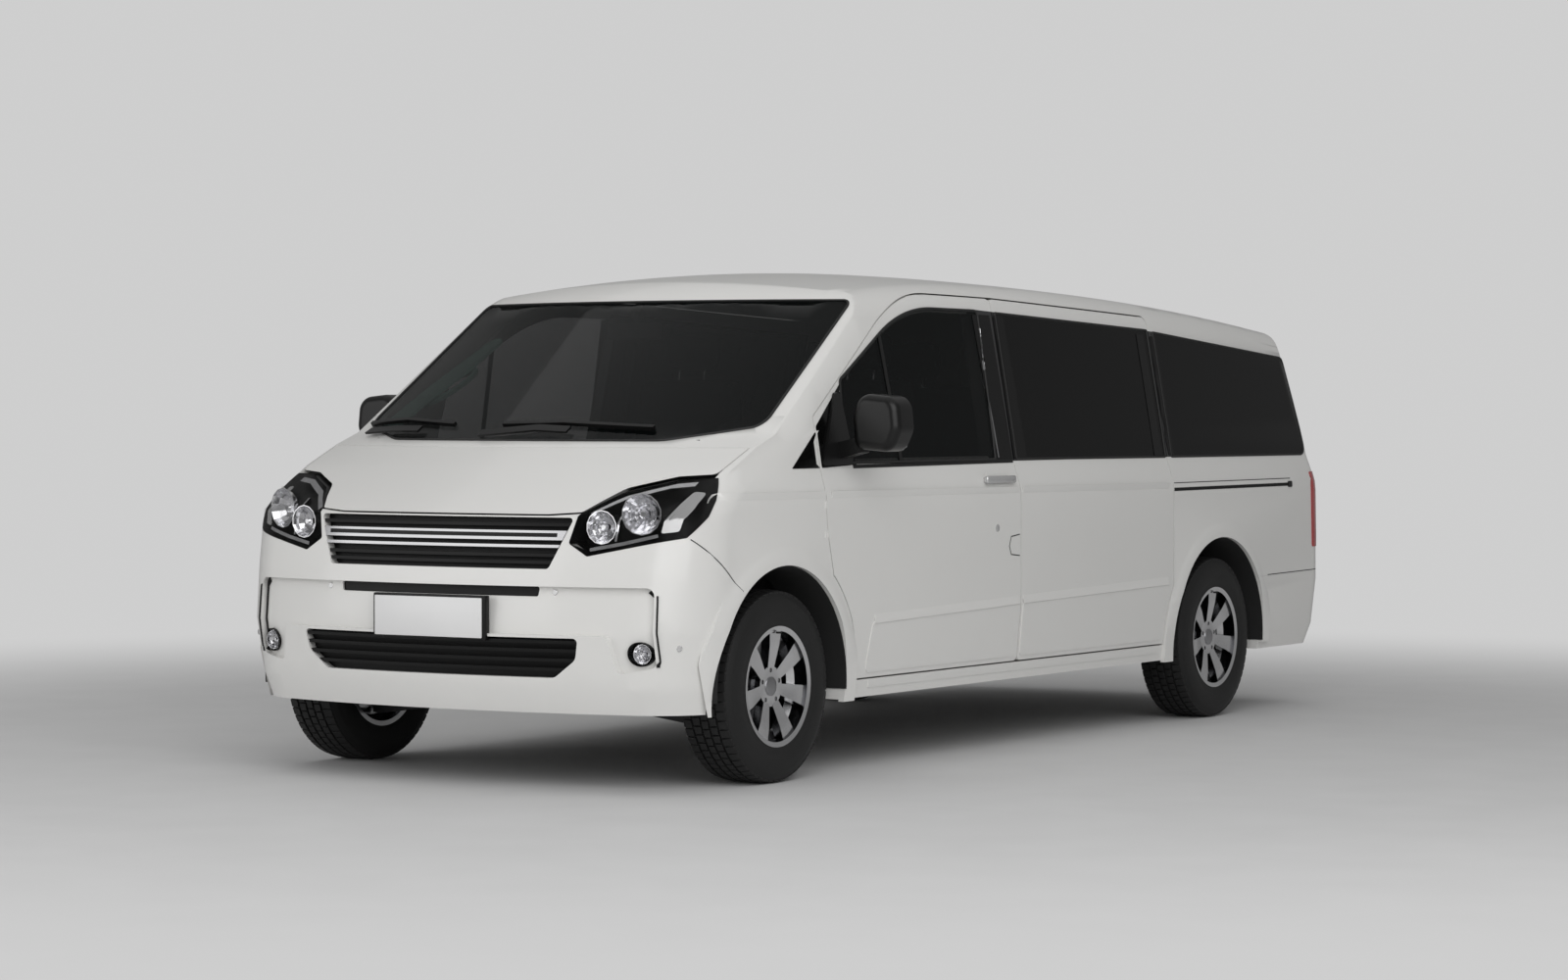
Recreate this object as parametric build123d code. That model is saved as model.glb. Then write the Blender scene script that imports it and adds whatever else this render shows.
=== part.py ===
from build123d import *
from math import cos, radians, sin, sqrt, tan
import os

# A one-box passenger minibus, in millimetres.
# +X is the vehicle's left, the nose points along -Y and +Z is up. The origin is on the ground, in the
# middle of the vehicle's length and width. Places along the vehicle are stations: millimetres behind
# the foremost point of the bumper, turned into Y by at().

# ---------------------------------------------------------------- driving dimensions
FRONT_OVERHANG = 750
WHEELBASE = 3500
REAR_OVERHANG = 1150
LENGTH = FRONT_OVERHANG + WHEELBASE + REAR_OVERHANG
FRONT_AXLE = FRONT_OVERHANG
REAR_AXLE = FRONT_OVERHANG + WHEELBASE

TYRE_RADIUS = 343
TYRE_WIDTH = 215
RIM_RADIUS = 203                 # bead seat of a 16 inch wheel
BEAD_GAP = 0.3
TYRE_OUTER_X = 990               # outer face of each tyre
WHEEL_X = TYRE_OUTER_X - TYRE_WIDTH / 2

BODY_HALF_WIDTH = 1008
FLARE_X = 1020                   # the arch lips stand out this far
ROOF_HEIGHT = 1862
ROOF_PEAK_STATION = 2300
FLOOR_TOP = 530
FLOOR_THICKNESS = 60
BELT_Z = 1115
SILL_TOP = 338

SHUT_GAP = 6                     # between a moving panel and its frame
SEAM_GAP = 0.3                   # between pieces that are fixed to each other
GLASS_THICKNESS = 6
GLASS_LAP = 14                   # width of the flange behind a glass edge

DOOR_WALL = 95                   # whole door, skin to trim, below the belt
FRAME_WALL = 55                  # window frames, pillars and quarter panels above the belt
PANEL_WALL = 38                  # bumpers, wings and bonnet
ROOF_WALL = 45

ARCH_RADIUS = 430                # wheel arch opening
FLARE_RADIUS = 505               # outer edge of the flared lip
LINER_WALL = 6

DOOR_SWING = 65
BONNET_SWING = 50
TAILGATE_SWING = 80
STEER_ANGLE = 35


def at(station):
    """Y of a place that many millimetres behind the foremost point of the bumper."""
    return station - LENGTH / 2


def at_point(station, z, x=0):
    return Vector(x, at(station), z)


def export(name, shape):
    """Writes one node as a STEP file."""
    solids = shape.solids() if hasattr(shape, "solids") else [s for p in shape for s in p.solids()]
    whole = solids[0] if len(solids) == 1 else Compound(children=solids)
    whole.label = name
    export_step(whole, f"parts/{name}.step")


def mirrored(shape):
    """The same piece on the vehicle's other side."""
    return mirror(shape, about=Plane.YZ)


def both_sides(shape):
    return Compound(children=[*shape.solids(), *mirrored(shape).solids()])


def rounded_face(corners, place):
    """A flat outline from (a, b, corner radius) rows; place turns (a, b) into a point."""
    line = FilletPolyline(*[place(a, b) for a, b, _ in corners], radius=[r for _, _, r in corners], close=True)
    return make_face(line)


def side_prism(corners, x_from, x_to):
    """Side-view outline of (station, z, corner radius), from one X to another."""
    face = rounded_face(corners, lambda s, z: (x_from, at(s), z))
    return extrude(face, amount=x_to - x_from, dir=(1, 0, 0))


def front_prism(corners, s_from, s_to):
    """Front-view outline of (x, z, corner radius), from one station to another."""
    face = rounded_face(corners, lambda x, z: (x, at(s_from), z))
    return extrude(face, amount=s_to - s_from, dir=(0, 1, 0))


def block(x_from, x_to, s_from, s_to, z_from, z_to):
    """A plain rectangular block between two X, two stations and two Z."""
    size = (x_to - x_from, s_to - s_from, z_to - z_from)
    middle = ((x_from + x_to) / 2, at((s_from + s_to) / 2), (z_from + z_to) / 2)
    return Pos(*middle) * Box(*size)


def axle_cylinder(radius, station, z, x_from, x_to):
    """A cylinder along X."""
    return Pos((x_from + x_to) / 2, at(station), z) * Rot(0, 90, 0) * Cylinder(radius, x_to - x_from)


# ---------------------------------------------------------------- body envelope
# Plan sections of the body, from the sill up. Columns: z, station of the nose, radius of the nose in
# plan, corner radius at the nose, half width, distance of the tail from the rearmost point,
# corner radius at the tail, wall of the cabin side at this height.
NOSE_RADIUS = 3200
TAIL_RADIUS = 6000
SCREEN_RADIUS = 1850
BODY_SECTIONS = [
    (270, 70, NOSE_RADIUS, 280, 975, 70, 140, DOOR_WALL),
    (360, 30, NOSE_RADIUS, 300, 990, 15, 150, DOOR_WALL),
    (560, 0, NOSE_RADIUS, 300, BODY_HALF_WIDTH, 0, 150, DOOR_WALL),
    (760, 20, NOSE_RADIUS, 290, BODY_HALF_WIDTH, 8, 140, DOOR_WALL),
    (955, 60, NOSE_RADIUS, 260, BODY_HALF_WIDTH, 22, 130, DOOR_WALL),
    (1010, 145, NOSE_RADIUS, 220, BODY_HALF_WIDTH - 2, 30, 130, DOOR_WALL),
    (BELT_Z, 330, 3000, 110, 975, 60, 120, FRAME_WALL + 5),
    (1190, 470, 2400, 60, 963, 80, 120, FRAME_WALL),
    (1235, 535, SCREEN_RADIUS, 60, 956, 92, 120, FRAME_WALL),
    (1730, 1295, SCREEN_RADIUS, 60, 868, 235, 110, FRAME_WALL),
    (1980, 1679, SCREEN_RADIUS, 60, 824, 305, 110, FRAME_WALL),
]
SKIRT_Z = 200                    # the hollow runs out below the sills


def corner_points(half, crown_radius, crown_y, corner_radius, way):
    """Where a bowed end, its rounded corner and the straight side meet, in plan.
    way is +1 where the bow's centre lies behind it (nose) and -1 at the tail."""
    reach = sqrt((crown_radius - corner_radius) ** 2 - (half - corner_radius) ** 2)
    centre_y = crown_y + way * crown_radius
    fillet_y = centre_y - way * reach
    on_crown = (
        (half - corner_radius) * crown_radius / (crown_radius - corner_radius),
        centre_y - way * reach * crown_radius / (crown_radius - corner_radius),
    )
    ux, uy = (half - corner_radius) / (crown_radius - corner_radius), -way * reach / (crown_radius - corner_radius)
    length = sqrt((ux + 1) ** 2 + uy**2)
    middle = (half - corner_radius + corner_radius * (ux + 1) / length, fillet_y + corner_radius * uy / length)
    return on_crown, middle, (half, fillet_y)


def plan_wire(z, nose, nose_radius, nose_corner, half, tail, tail_corner):
    """One closed plan section: bowed nose, round corners, straight sides and bowed tail."""
    nose_y, tail_y = at(nose), at(LENGTH - tail)
    n_crown, n_mid, n_side = corner_points(half, nose_radius, nose_y, nose_corner, 1)
    t_crown, t_mid, t_side = corner_points(half, TAIL_RADIUS, tail_y, tail_corner, -1)

    def p(point, side=1):
        return (side * point[0], point[1], z)

    edges = [
        ThreePointArc(p(n_crown, -1), (0, nose_y, z), p(n_crown)),
        ThreePointArc(p(n_crown), p(n_mid), p(n_side)),
        Line(p(n_side), p(t_side)),
        ThreePointArc(p(t_side), p(t_mid), p(t_crown)),
        ThreePointArc(p(t_crown), (0, tail_y, z), p(t_crown, -1)),
        ThreePointArc(p(t_crown, -1), p(t_mid, -1), p(t_side, -1)),
        Line(p(t_side, -1), p(n_side, -1)),
        ThreePointArc(p(n_side, -1), p(n_mid, -1), p(n_crown, -1)),
    ]
    return Wire(edges)


def envelope(side, nose, tail, bottom=None):
    """The body's outer form, set in from the sides, nose and tail. side None uses the wall column."""
    wires = []
    for z, n, n_radius, n_corner, half, t, t_corner, wall in BODY_SECTIONS:
        inset = wall if side is None else side
        if bottom is not None and not wires:
            z = bottom
        wires.append(
            plan_wire(z, n + nose, n_radius, max(n_corner - inset, 12), half - inset, t + tail, max(t_corner - inset, 12))
        )
    return Solid.make_loft(wires, ruled=True)


ROOF_CROWN_RADIUS = 5700         # across the vehicle
ROOF_SHOULDER_RADIUS = 130
ROOF_FRONT_RADIUS = 6500         # along the vehicle, ahead of the peak
ROOF_REAR_RADIUS = 28000
ROOF_EDGE_X = 905                # where the shoulder meets the roof side, at ROOF_EDGE_Z
ROOF_EDGE_Z = 1620
ROOF_SIDE_LEAN = 0.19            # the roof section opens this much per millimetre downwards
ROOF_SPREAD_Z = 1380             # from here down it opens faster, clear of the wings
ROOF_FOOT_LEAN = 0.8


def roof_form(inset):
    """Everything below the roof skin: one cross-section turned about two far axes, ahead and behind the peak."""
    top = ROOF_HEIGHT - inset
    crown = ROOF_CROWN_RADIUS - inset
    spread_x = ROOF_EDGE_X - inset + ROOF_SIDE_LEAN * (ROOF_EDGE_Z - ROOF_SPREAD_Z)
    foot_z = 60
    foot_x = spread_x + ROOF_FOOT_LEAN * (ROOF_SPREAD_Z - foot_z)
    head_x = ROOF_EDGE_X - inset - ROOF_SIDE_LEAN * (top - ROOF_EDGE_Z)
    head_z = top - crown + sqrt(crown**2 - head_x**2)
    y = at(ROOF_PEAK_STATION)
    outline = [
        ThreePointArc((-head_x, y, head_z), (0, y, top), (head_x, y, head_z)),
        Line((head_x, y, head_z), (spread_x, y, ROOF_SPREAD_Z)),
        Line((spread_x, y, ROOF_SPREAD_Z), (foot_x, y, foot_z)),
        Line((foot_x, y, foot_z), (-foot_x, y, foot_z)),
        Line((-foot_x, y, foot_z), (-spread_x, y, ROOF_SPREAD_Z)),
        Line((-spread_x, y, ROOF_SPREAD_Z), (-head_x, y, head_z)),
    ]
    face = Face(Wire(outline))
    shoulders = [v for v in face.vertices() if v.Z > ROOF_EDGE_Z]
    face = face.fillet_2d(ROOF_SHOULDER_RADIUS - inset, shoulders)
    front_axis = Axis((0, y, ROOF_HEIGHT - ROOF_FRONT_RADIUS), (1, 0, 0))
    rear_axis = Axis((0, y, ROOF_HEIGHT - ROOF_REAR_RADIUS), (-1, 0, 0))
    return revolve(face, front_axis, 30) + revolve(face, rear_axis, 9)


def single(shape):
    solids = shape.solids()
    return solids[0] if len(solids) == 1 else max(solids, key=lambda s: s.volume)


# ---------------------------------------------------------------- shell of the body
FIREWALL_STATION = 1020
NOSE_WALL = PANEL_WALL + 12      # measured along the vehicle, across the slope of bonnet and screen
TAIL_WALL = 70
THIN_TOP = 1100                  # wings and bumper corners are thin up to here
ROOF_SPLIT_X = 730
ROOF_REAR = LENGTH - 316
REAR_BUMPER_TOP = 590

OUTER_LOFT = envelope(0, 0, 0)
OUTER = single(OUTER_LOFT & roof_form(0))
CABIN = single(envelope(None, NOSE_WALL, TAIL_WALL, SKIRT_Z) & roof_form(ROOF_WALL))
THIN = envelope(PANEL_WALL, NOSE_WALL - 8, PANEL_WALL, SKIRT_Z - 20)
NOSE_BAY = THIN & block(-1200, 1200, -100, FIREWALL_STATION, SKIRT_Z - 40, THIN_TOP)
TAIL_BAY = THIN & block(-1200, 1200, REAR_AXLE + ARCH_RADIUS, LENGTH + 100, SKIRT_Z - 40, REAR_BUMPER_TOP + 10)
SHELL = single(OUTER - CABIN - NOSE_BAY - TAIL_BAY)

GLASS_BACK = envelope(GLASS_THICKNESS, GLASS_THICKNESS * 1.8, GLASS_THICKNESS * 1.1, SKIRT_Z)
GLASS_SKIN = OUTER_LOFT - GLASS_BACK
REBATE_BACK = envelope(
    GLASS_THICKNESS + SEAM_GAP, (GLASS_THICKNESS + SEAM_GAP) * 1.8, (GLASS_THICKNESS + SEAM_GAP) * 1.1, SKIRT_Z
)
REBATE_SKIN = envelope(-20, -40, -30, SKIRT_Z) - REBATE_BACK

# Outlines in side view: station, z, corner radius.
B_POST = 2480                    # front doors end and sliding doors start here
SLIDE_REAR = 3804
DOOR_BOTTOM = SILL_TOP
FRONT_DOOR = [
    (1046, 1296, 25),
    (1034, 920, 400),
    (1090, 700, 0),
    (1090, DOOR_BOTTOM, 0),
    (B_POST, DOOR_BOTTOM, 25),
    (B_POST, 1757, 29),
    (1765, 1767, 800),
]
FRONT_DOOR_GLASS = [
    (1218, 1128, 12),
    (1262, 1430, 30),
    (1790, 1709, 900),
    (2362, 1706, 25),
    (2335, 1128, 12),
]
SLIDING_DOOR = [
    (B_POST, DOOR_BOTTOM, 25),
    (SLIDE_REAR, DOOR_BOTTOM, 0),
    (SLIDE_REAR, 1709, 35),
    (B_POST, 1757, 29),
]
SLIDING_GLASS = [
    (B_POST + 22, 1128, 8),
    (SLIDE_REAR - 12, 1122, 8),
    (SLIDE_REAR - 12, 1652, 8),
    (B_POST + 22, 1700, 8),
]
QUARTER_GLASS = [
    (SLIDE_REAR + 40, 1122, 8),
    (LENGTH - 222, 1118, 45),
    (LENGTH - 292, 1546, 70),
    (SLIDE_REAR + 40, 1645, 8),
]
# Outlines in front view: x, z, corner radius. The left half; the right half is its mirror.
SCREEN_EDGE = [(600, 1212, 300), (884, 1264, 40), (834, 1728, 30)]
TAILGATE_EDGE = [(800, 612, 25), (818, 1100, 60), (752, 1650, 0), (752, 2000, 0)]
TAILGATE_GLASS_EDGE = [(730, 1150, 35), (690, 1570, 35)]
BONNET_EDGE = [(450, 958, 40), (572, 966, 25), (655, 1048, 60), (800, 1088, 60), (925, 1096, 20), (925, 1330, 0)]
UPPER_GRILLE_EDGE = [(478, 772, 18), (556, 950, 12)]
SLOT_EDGE = [(430, 676, 8), (436, 711, 10)]
LOWER_GRILLE_EDGE = [(500, 396, 40), (585, 460, 40), (600, 535, 15)]
BAND_EDGE = [(705, 545, 20), (735, 412, 25), (866, 438, 22), (864, 712, 28)]
LAMP_FRONT = [
    (545, 862, 10),
    (618, 818, 10),
    (1080, 912, 0),
    (1080, 1092, 0),
    (808, 1080, 60),
    (662, 1038, 60),
    (570, 962, 10),
]
LAMP_SIDE = [(-100, 780, 0), (126, 780, 0), (452, 1100, 0), (-100, 1100, 0)]
BUMPER_SIDE = [(-100, 180, 0), (620, 180, 0), (620, 560, 0), (238, 880, 0), (238, 1010, 0), (-100, 1010, 0)]
TAIL_LAMP_SIDE = [
    (LENGTH - 125, 700, 12),
    (LENGTH + 60, 700, 0),
    (LENGTH + 60, 1045, 0),
    (LENGTH - 142, 1045, 12),
]
REAR_BUMPER_SIDE = [
    (REAR_AXLE + 200, 180, 0),
    (LENGTH + 60, 180, 0),
    (LENGTH + 60, REAR_BUMPER_TOP, 0),
    (REAR_AXLE + 200, REAR_BUMPER_TOP, 0),
]


def symmetric(edge):
    """A full outline from its left half, listed from the bottom up."""
    return edge + [(-x, z, r) for x, z, r in reversed(edge)]


def grown(corners, gap):
    """The same outline, moved out by gap (in if negative)."""
    middle_a = sum(c[0] for c in corners) / len(corners)
    middle_b = sum(c[1] for c in corners) / len(corners)
    rows, count = [], len(corners)
    turn = sum(
        corners[i][0] * corners[(i + 1) % count][1] - corners[(i + 1) % count][0] * corners[i][1] for i in range(count)
    )
    way = 1 if turn > 0 else -1
    for i, (a, b, r) in enumerate(corners):
        pa, pb, _ = corners[i - 1]
        na, nb, _ = corners[(i + 1) % count]
        d1, d2 = (a - pa, b - pb), (na - a, nb - b)
        l1, l2 = sqrt(d1[0] ** 2 + d1[1] ** 2), sqrt(d2[0] ** 2 + d2[1] ** 2)
        n1, n2 = (way * d1[1] / l1, -way * d1[0] / l1), (way * d2[1] / l2, -way * d2[0] / l2)
        scale = gap / (1 + n1[0] * n2[0] + n1[1] * n2[1])
        rows.append((a + (n1[0] + n2[0]) * scale, b + (n1[1] + n2[1]) * scale, max(r + gap, 0) if r else 0))
    return rows


SIDE_IN, SIDE_OUT = 640, 1300    # side prisms run from inside the cabin out past the skin
NOSE_END = 1900                  # front prisms stop here, well ahead of the tail
HALF_GAP = SHUT_GAP / 2


def left_prism(corners, gap=0):
    return side_prism(grown(corners, gap) if gap else corners, SIDE_IN, SIDE_OUT)


def nose_prism(edge, gap=0):
    outline = symmetric(edge)
    return front_prism(grown(outline, gap) if gap else outline, -200, NOSE_END)


def tail_prism(edge, gap=0):
    outline = symmetric(edge)
    return front_prism(grown(outline, gap) if gap else outline, ROOF_REAR + SHUT_GAP - 2 * gap, LENGTH + 200)


def arch_tool(station, radius, x_from=560):
    """The round space about a left wheel."""
    return axle_cylinder(radius, station, TYRE_RADIUS, x_from, 1300)


FLARE_CUT = [arch_tool(FRONT_AXLE, FLARE_RADIUS), arch_tool(REAR_AXLE, FLARE_RADIUS)]
ARCH_CUT = [arch_tool(FRONT_AXLE, ARCH_RADIUS), arch_tool(REAR_AXLE, ARCH_RADIUS)]


LIP_RISE = 12                    # the arch lips stand this far out of the skin round them
LIP_ROOT_X = BODY_HALF_WIDTH - 36
LIP_SKIN = envelope(-LIP_RISE, -LIP_RISE, -LIP_RISE, SKIRT_Z - 20)


def flare(station, inner_radius=ARCH_RADIUS, foot=262):
    """The lip that stands out round a left wheel arch, down to its foot."""
    profile = [
        (LIP_ROOT_X, inner_radius),
        (FLARE_X, inner_radius),
        (FLARE_X, ARCH_RADIUS + 22),
        (BODY_HALF_WIDTH - 2, FLARE_RADIUS),
        (LIP_ROOT_X, FLARE_RADIUS),
    ]
    face = make_face(Polyline(*[(x, 0, r) for x, r in profile], close=True))
    ring = revolve(face, Axis.X, 360)
    ring = Pos(0, at(station), TYRE_RADIUS) * ring
    return ring & block(880, 1100, station - 600, station + 600, foot, 1200) & LIP_SKIN


# ---------------------------------------------------------------- moving panels
def cut(shape, *tools):
    """shape without the tools, one at a time."""
    for tool in tools:
        shape = shape - tool
    return shape


def glazed(panel, glass, hole):
    """A panel with its window cut and a ledge round it for the glass."""
    return cut(panel, REBATE_SKIN & glass, hole)


LAP = GLASS_LAP
FRONT_GLASS_PRISM = left_prism(FRONT_DOOR_GLASS)
door_glass = single(GLASS_SKIN & FRONT_GLASS_PRISM)
door_panel = (OUTER & left_prism(FRONT_DOOR, -HALF_GAP)) - CABIN
door_panel = cut(door_panel, arch_tool(FRONT_AXLE, FLARE_RADIUS + SHUT_GAP))
door_panel = glazed(door_panel, left_prism(FRONT_DOOR_GLASS, SEAM_GAP), left_prism(FRONT_DOOR_GLASS, -LAP))

sliding_glass = single(GLASS_SKIN & left_prism(SLIDING_GLASS))
sliding_panel = SHELL & left_prism(SLIDING_DOOR, -HALF_GAP)
sliding_panel = cut(sliding_panel, arch_tool(REAR_AXLE, FLARE_RADIUS + SHUT_GAP))
SLIDING_HOLE = [(s + (80 if s < SLIDE_REAR - 500 else 0), z, r + 30) for s, z, r in SLIDING_GLASS]
sliding_panel = glazed(sliding_panel, left_prism(SLIDING_GLASS, SEAM_GAP), left_prism(SLIDING_HOLE, -LAP))

quarter_glass = single(GLASS_SKIN & left_prism(QUARTER_GLASS))

# The bonnet ends at the plan section of the screen's foot.
COWL_ROW = [row for row in BODY_SECTIONS if row[0] == 1190][0]


def behind_bonnet(gap):
    """Everything behind the bonnet's rear edge, moved forward by gap."""
    z, nose, nose_radius, nose_corner, half, tail, tail_corner, _ = COWL_ROW
    wire = plan_wire(900, nose - gap, nose_radius + gap, nose_corner + gap, half + gap, tail, tail_corner)
    return extrude(Face(wire), amount=600, dir=(0, 0, 1))


bonnet = cut(SHELL & nose_prism(BONNET_EDGE, -HALF_GAP), behind_bonnet(SHUT_GAP))

SCREEN_PRISM = nose_prism(SCREEN_EDGE)
windscreen = single(GLASS_SKIN & SCREEN_PRISM)

TAILGATE_ZONE = tail_prism(TAILGATE_EDGE)
tailgate_glass = GLASS_SKIN & front_prism(symmetric(TAILGATE_GLASS_EDGE), LENGTH - 500, LENGTH + 200)
tailgate = SHELL & tail_prism(TAILGATE_EDGE, -HALF_GAP)
tailgate = glazed(
    tailgate,
    front_prism(grown(symmetric(TAILGATE_GLASS_EDGE), SEAM_GAP), LENGTH - 500, LENGTH + 200),
    front_prism(grown(symmetric(TAILGATE_GLASS_EDGE), -LAP), LENGTH - 500, LENGTH + 200),
)

# ---------------------------------------------------------------- fixed body panels
ROOF_ZONE = block(-ROOF_SPLIT_X, ROOF_SPLIT_X, 1150, ROOF_REAR, 1560, 2000)
roof_panel = cut(SHELL & ROOF_ZONE, nose_prism(SCREEN_EDGE, SEAM_GAP))
COWL_ZONE = block(-925, 925, 300, 960, 1080, 1300)
cowl_panel = cut(SHELL & COWL_ZONE & behind_bonnet(0), nose_prism(SCREEN_EDGE, SEAM_GAP))

LAMP_ZONE = front_prism(LAMP_FRONT, -200, 900) & side_prism(LAMP_SIDE, 300, 1200)
LAMP_CUT = front_prism(grown(LAMP_FRONT, 1), -200, 900) & side_prism(grown(LAMP_SIDE, 1), 300, 1200)
LAMP_DEPTH = 105
LAMP_BACK = envelope(LAMP_DEPTH, LAMP_DEPTH, 10, SKIRT_Z - 20)
headlamp = single((OUTER_LOFT & LAMP_ZONE) - LAMP_BACK)

TAIL_LAMP_ZONE = side_prism(TAIL_LAMP_SIDE, 835, 1100)
TAIL_LAMP_CUT = side_prism(grown(TAIL_LAMP_SIDE, 1), 834, 1100)
tail_lamp = single((OUTER_LOFT & TAIL_LAMP_ZONE) - envelope(60, 60, 60, SKIRT_Z))

WHOLE_WIDTH = 1300


def full_prism(corners, gap=0):
    return side_prism(grown(corners, gap) if gap else corners, -WHOLE_WIDTH, WHOLE_WIDTH)


SIDE_HALF = block(300, WHOLE_WIDTH, -100, LENGTH + 100, 100, 2000)
side_body = SHELL & SIDE_HALF
side_body = cut(
    side_body,
    block(-1, ROOF_SPLIT_X + SEAM_GAP, 1150, ROOF_REAR + SEAM_GAP, 1560, 2000),
    nose_prism(SCREEN_EDGE, SEAM_GAP),
    nose_prism(BONNET_EDGE, HALF_GAP) - behind_bonnet(0),
    block(-1, 925 + SEAM_GAP, 200, 960, 1080, 1300),
    LAMP_CUT,
    full_prism(BUMPER_SIDE, SEAM_GAP),
    tail_prism(TAILGATE_EDGE, HALF_GAP),
    full_prism(REAR_BUMPER_SIDE, SEAM_GAP),
    TAIL_LAMP_CUT,
)


def opening(corners):
    """A door's hole in the body: its corners are sharp where the two doors meet."""
    return left_prism([(s, z, 0 if s == B_POST else r) for s, z, r in corners], HALF_GAP)


side_body = cut(side_body, opening(FRONT_DOOR) - FLARE_CUT[0])
side_body = cut(side_body, opening(SLIDING_DOOR) - FLARE_CUT[1])
side_body = glazed(side_body, left_prism(QUARTER_GLASS, SEAM_GAP), left_prism(QUARTER_GLASS, -LAP))
for station in (FRONT_AXLE, REAR_AXLE):
    lip = cut(flare(station), full_prism(BUMPER_SIDE, SEAM_GAP), full_prism(REAR_BUMPER_SIDE, SEAM_GAP))
    side_body = side_body + lip
side_body = cut(side_body, *ARCH_CUT)

front_bumper = SHELL & full_prism(BUMPER_SIDE)
front_bumper = cut(front_bumper, nose_prism(BONNET_EDGE, HALF_GAP), LAMP_CUT, mirrored(LAMP_CUT))
rear_bumper = (OUTER & full_prism(REAR_BUMPER_SIDE)) - CABIN - TAIL_BAY
front_lip = flare(FRONT_AXLE) & full_prism(BUMPER_SIDE)
front_bumper = cut(front_bumper, ARCH_CUT[0], mirrored(ARCH_CUT[0])) + front_lip + mirrored(front_lip)
rear_lip = flare(REAR_AXLE, ARCH_RADIUS + 1, 300) & full_prism(REAR_BUMPER_SIDE)
rear_bumper = cut(rear_bumper, ARCH_CUT[1], mirrored(ARCH_CUT[1])) + rear_lip + mirrored(rear_lip)

# Inner frame of the door openings: a post behind the shut line and a box sill inside the doors.
POST_GAP = 8
POST_DEPTH = 50
ROCKER_INNER_X, ROCKER_OUTER_X = 800, 880
BELT_ROW, TOP_ROW = BODY_SECTIONS[6], BODY_SECTIONS[9]


def inner_face_x(row):
    """Where the cabin side lies at one of the plan sections."""
    return row[4] - row[7]


POST_FOOT_Z, POST_HEAD_Z = 300, 1790
post_low = BODY_HALF_WIDTH - DOOR_WALL - POST_GAP
post_belt = inner_face_x(BELT_ROW) - POST_GAP
post_top = inner_face_x(TOP_ROW) - POST_GAP
post_head = post_top - 55
b_post = front_prism(
    [
        (ROCKER_OUTER_X - POST_DEPTH, POST_FOOT_Z, 0),
        (ROCKER_OUTER_X, POST_FOOT_Z, 0),
        (post_low, 560, 0),
        (post_belt, BELT_Z, 0),
        (post_top, TOP_ROW[0], 0),
        (post_head, POST_HEAD_Z, 0),
        (ROOF_SPLIT_X + 2, POST_HEAD_Z, 0),
        (post_top - POST_DEPTH, TOP_ROW[0], 0),
        (post_belt - POST_DEPTH, BELT_Z, 0),
    ],
    B_POST - 50,
    B_POST + 50,
)
ROCKER_BOTTOM = BODY_SECTIONS[0][0] - 2      # the jacking face, just below the skirt
rocker = block(ROCKER_INNER_X, ROCKER_OUTER_X, FIREWALL_STATION + 300, SLIDE_REAR + 10, ROCKER_BOTTOM, 520)
rocker = cut(rocker, arch_tool(REAR_AXLE, FLARE_RADIUS - 40))
sill_foot = block(ROCKER_INNER_X, 930, FIREWALL_STATION + 300, SLIDE_REAR - 70, ROCKER_BOTTOM, 320)
side_body = side_body + b_post + rocker + sill_foot

# ---------------------------------------------------------------- front end: recess, grilles, lamps
RECESS_DEPTH = 26
RECESS_WALL = 14
band_prism = front_prism(symmetric(BAND_EDGE), -200, 700)
recess_floor = envelope(RECESS_DEPTH, RECESS_DEPTH, 0, SKIRT_Z) - envelope(
    RECESS_DEPTH + RECESS_WALL, RECESS_DEPTH + RECESS_WALL, 10, SKIRT_Z - 20
)
recess_floor = recess_floor & band_prism
front_bumper = (front_bumper - band_prism) + recess_floor
slot_prism = front_prism(symmetric(SLOT_EDGE), -200, 700)
upper_prism = front_prism(symmetric(UPPER_GRILLE_EDGE), -200, 700)
lower_prism = front_prism(symmetric(LOWER_GRILLE_EDGE), -200, 700)
FOG_X, FOG_Z, FOG_RADIUS, FOG_DEPTH = 812, 484, 42, 60
fog_hole = Pos(FOG_X, at(110), FOG_Z) * Rot(90, 0, 0) * Cylinder(FOG_RADIUS + SEAM_GAP, 300)
front_bumper = cut(front_bumper, slot_prism, upper_prism, lower_prism, fog_hole, mirrored(fog_hole))

GRILLE_BACK = 34                 # the dark backing sits this far in
GRILLE_WALL = 14
SLAT_HEIGHT = 12
grille_layer = envelope(GRILLE_BACK, GRILLE_BACK, 0, SKIRT_Z) - envelope(
    GRILLE_BACK + GRILLE_WALL, GRILLE_BACK + GRILLE_WALL, 10, SKIRT_Z - 20
)
slat_layer = envelope(6, 6, 0, SKIRT_Z) - envelope(GRILLE_BACK + 2, GRILLE_BACK + 2, 10, SKIRT_Z - 20)


def grille(edge, slats):
    """A dark insert: a backing that follows the nose, with slats standing out of it."""
    opening = front_prism(grown(symmetric(edge), -SEAM_GAP), -200, 700)
    body = grille_layer & opening
    for z in slats:
        band = block(-700, 700, -200, 700, z - SLAT_HEIGHT / 2, z + SLAT_HEIGHT / 2)
        body = body + (slat_layer & opening & band)
    return body


UPPER_SLATS = [795, 820, 925]
LOWER_SLATS = [425, 458, 491, 521]
upper_grille = grille(UPPER_GRILLE_EDGE, UPPER_SLATS)
lower_grille = grille(LOWER_GRILLE_EDGE, LOWER_SLATS)
slot_grille = grille(SLOT_EDGE, [])

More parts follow.
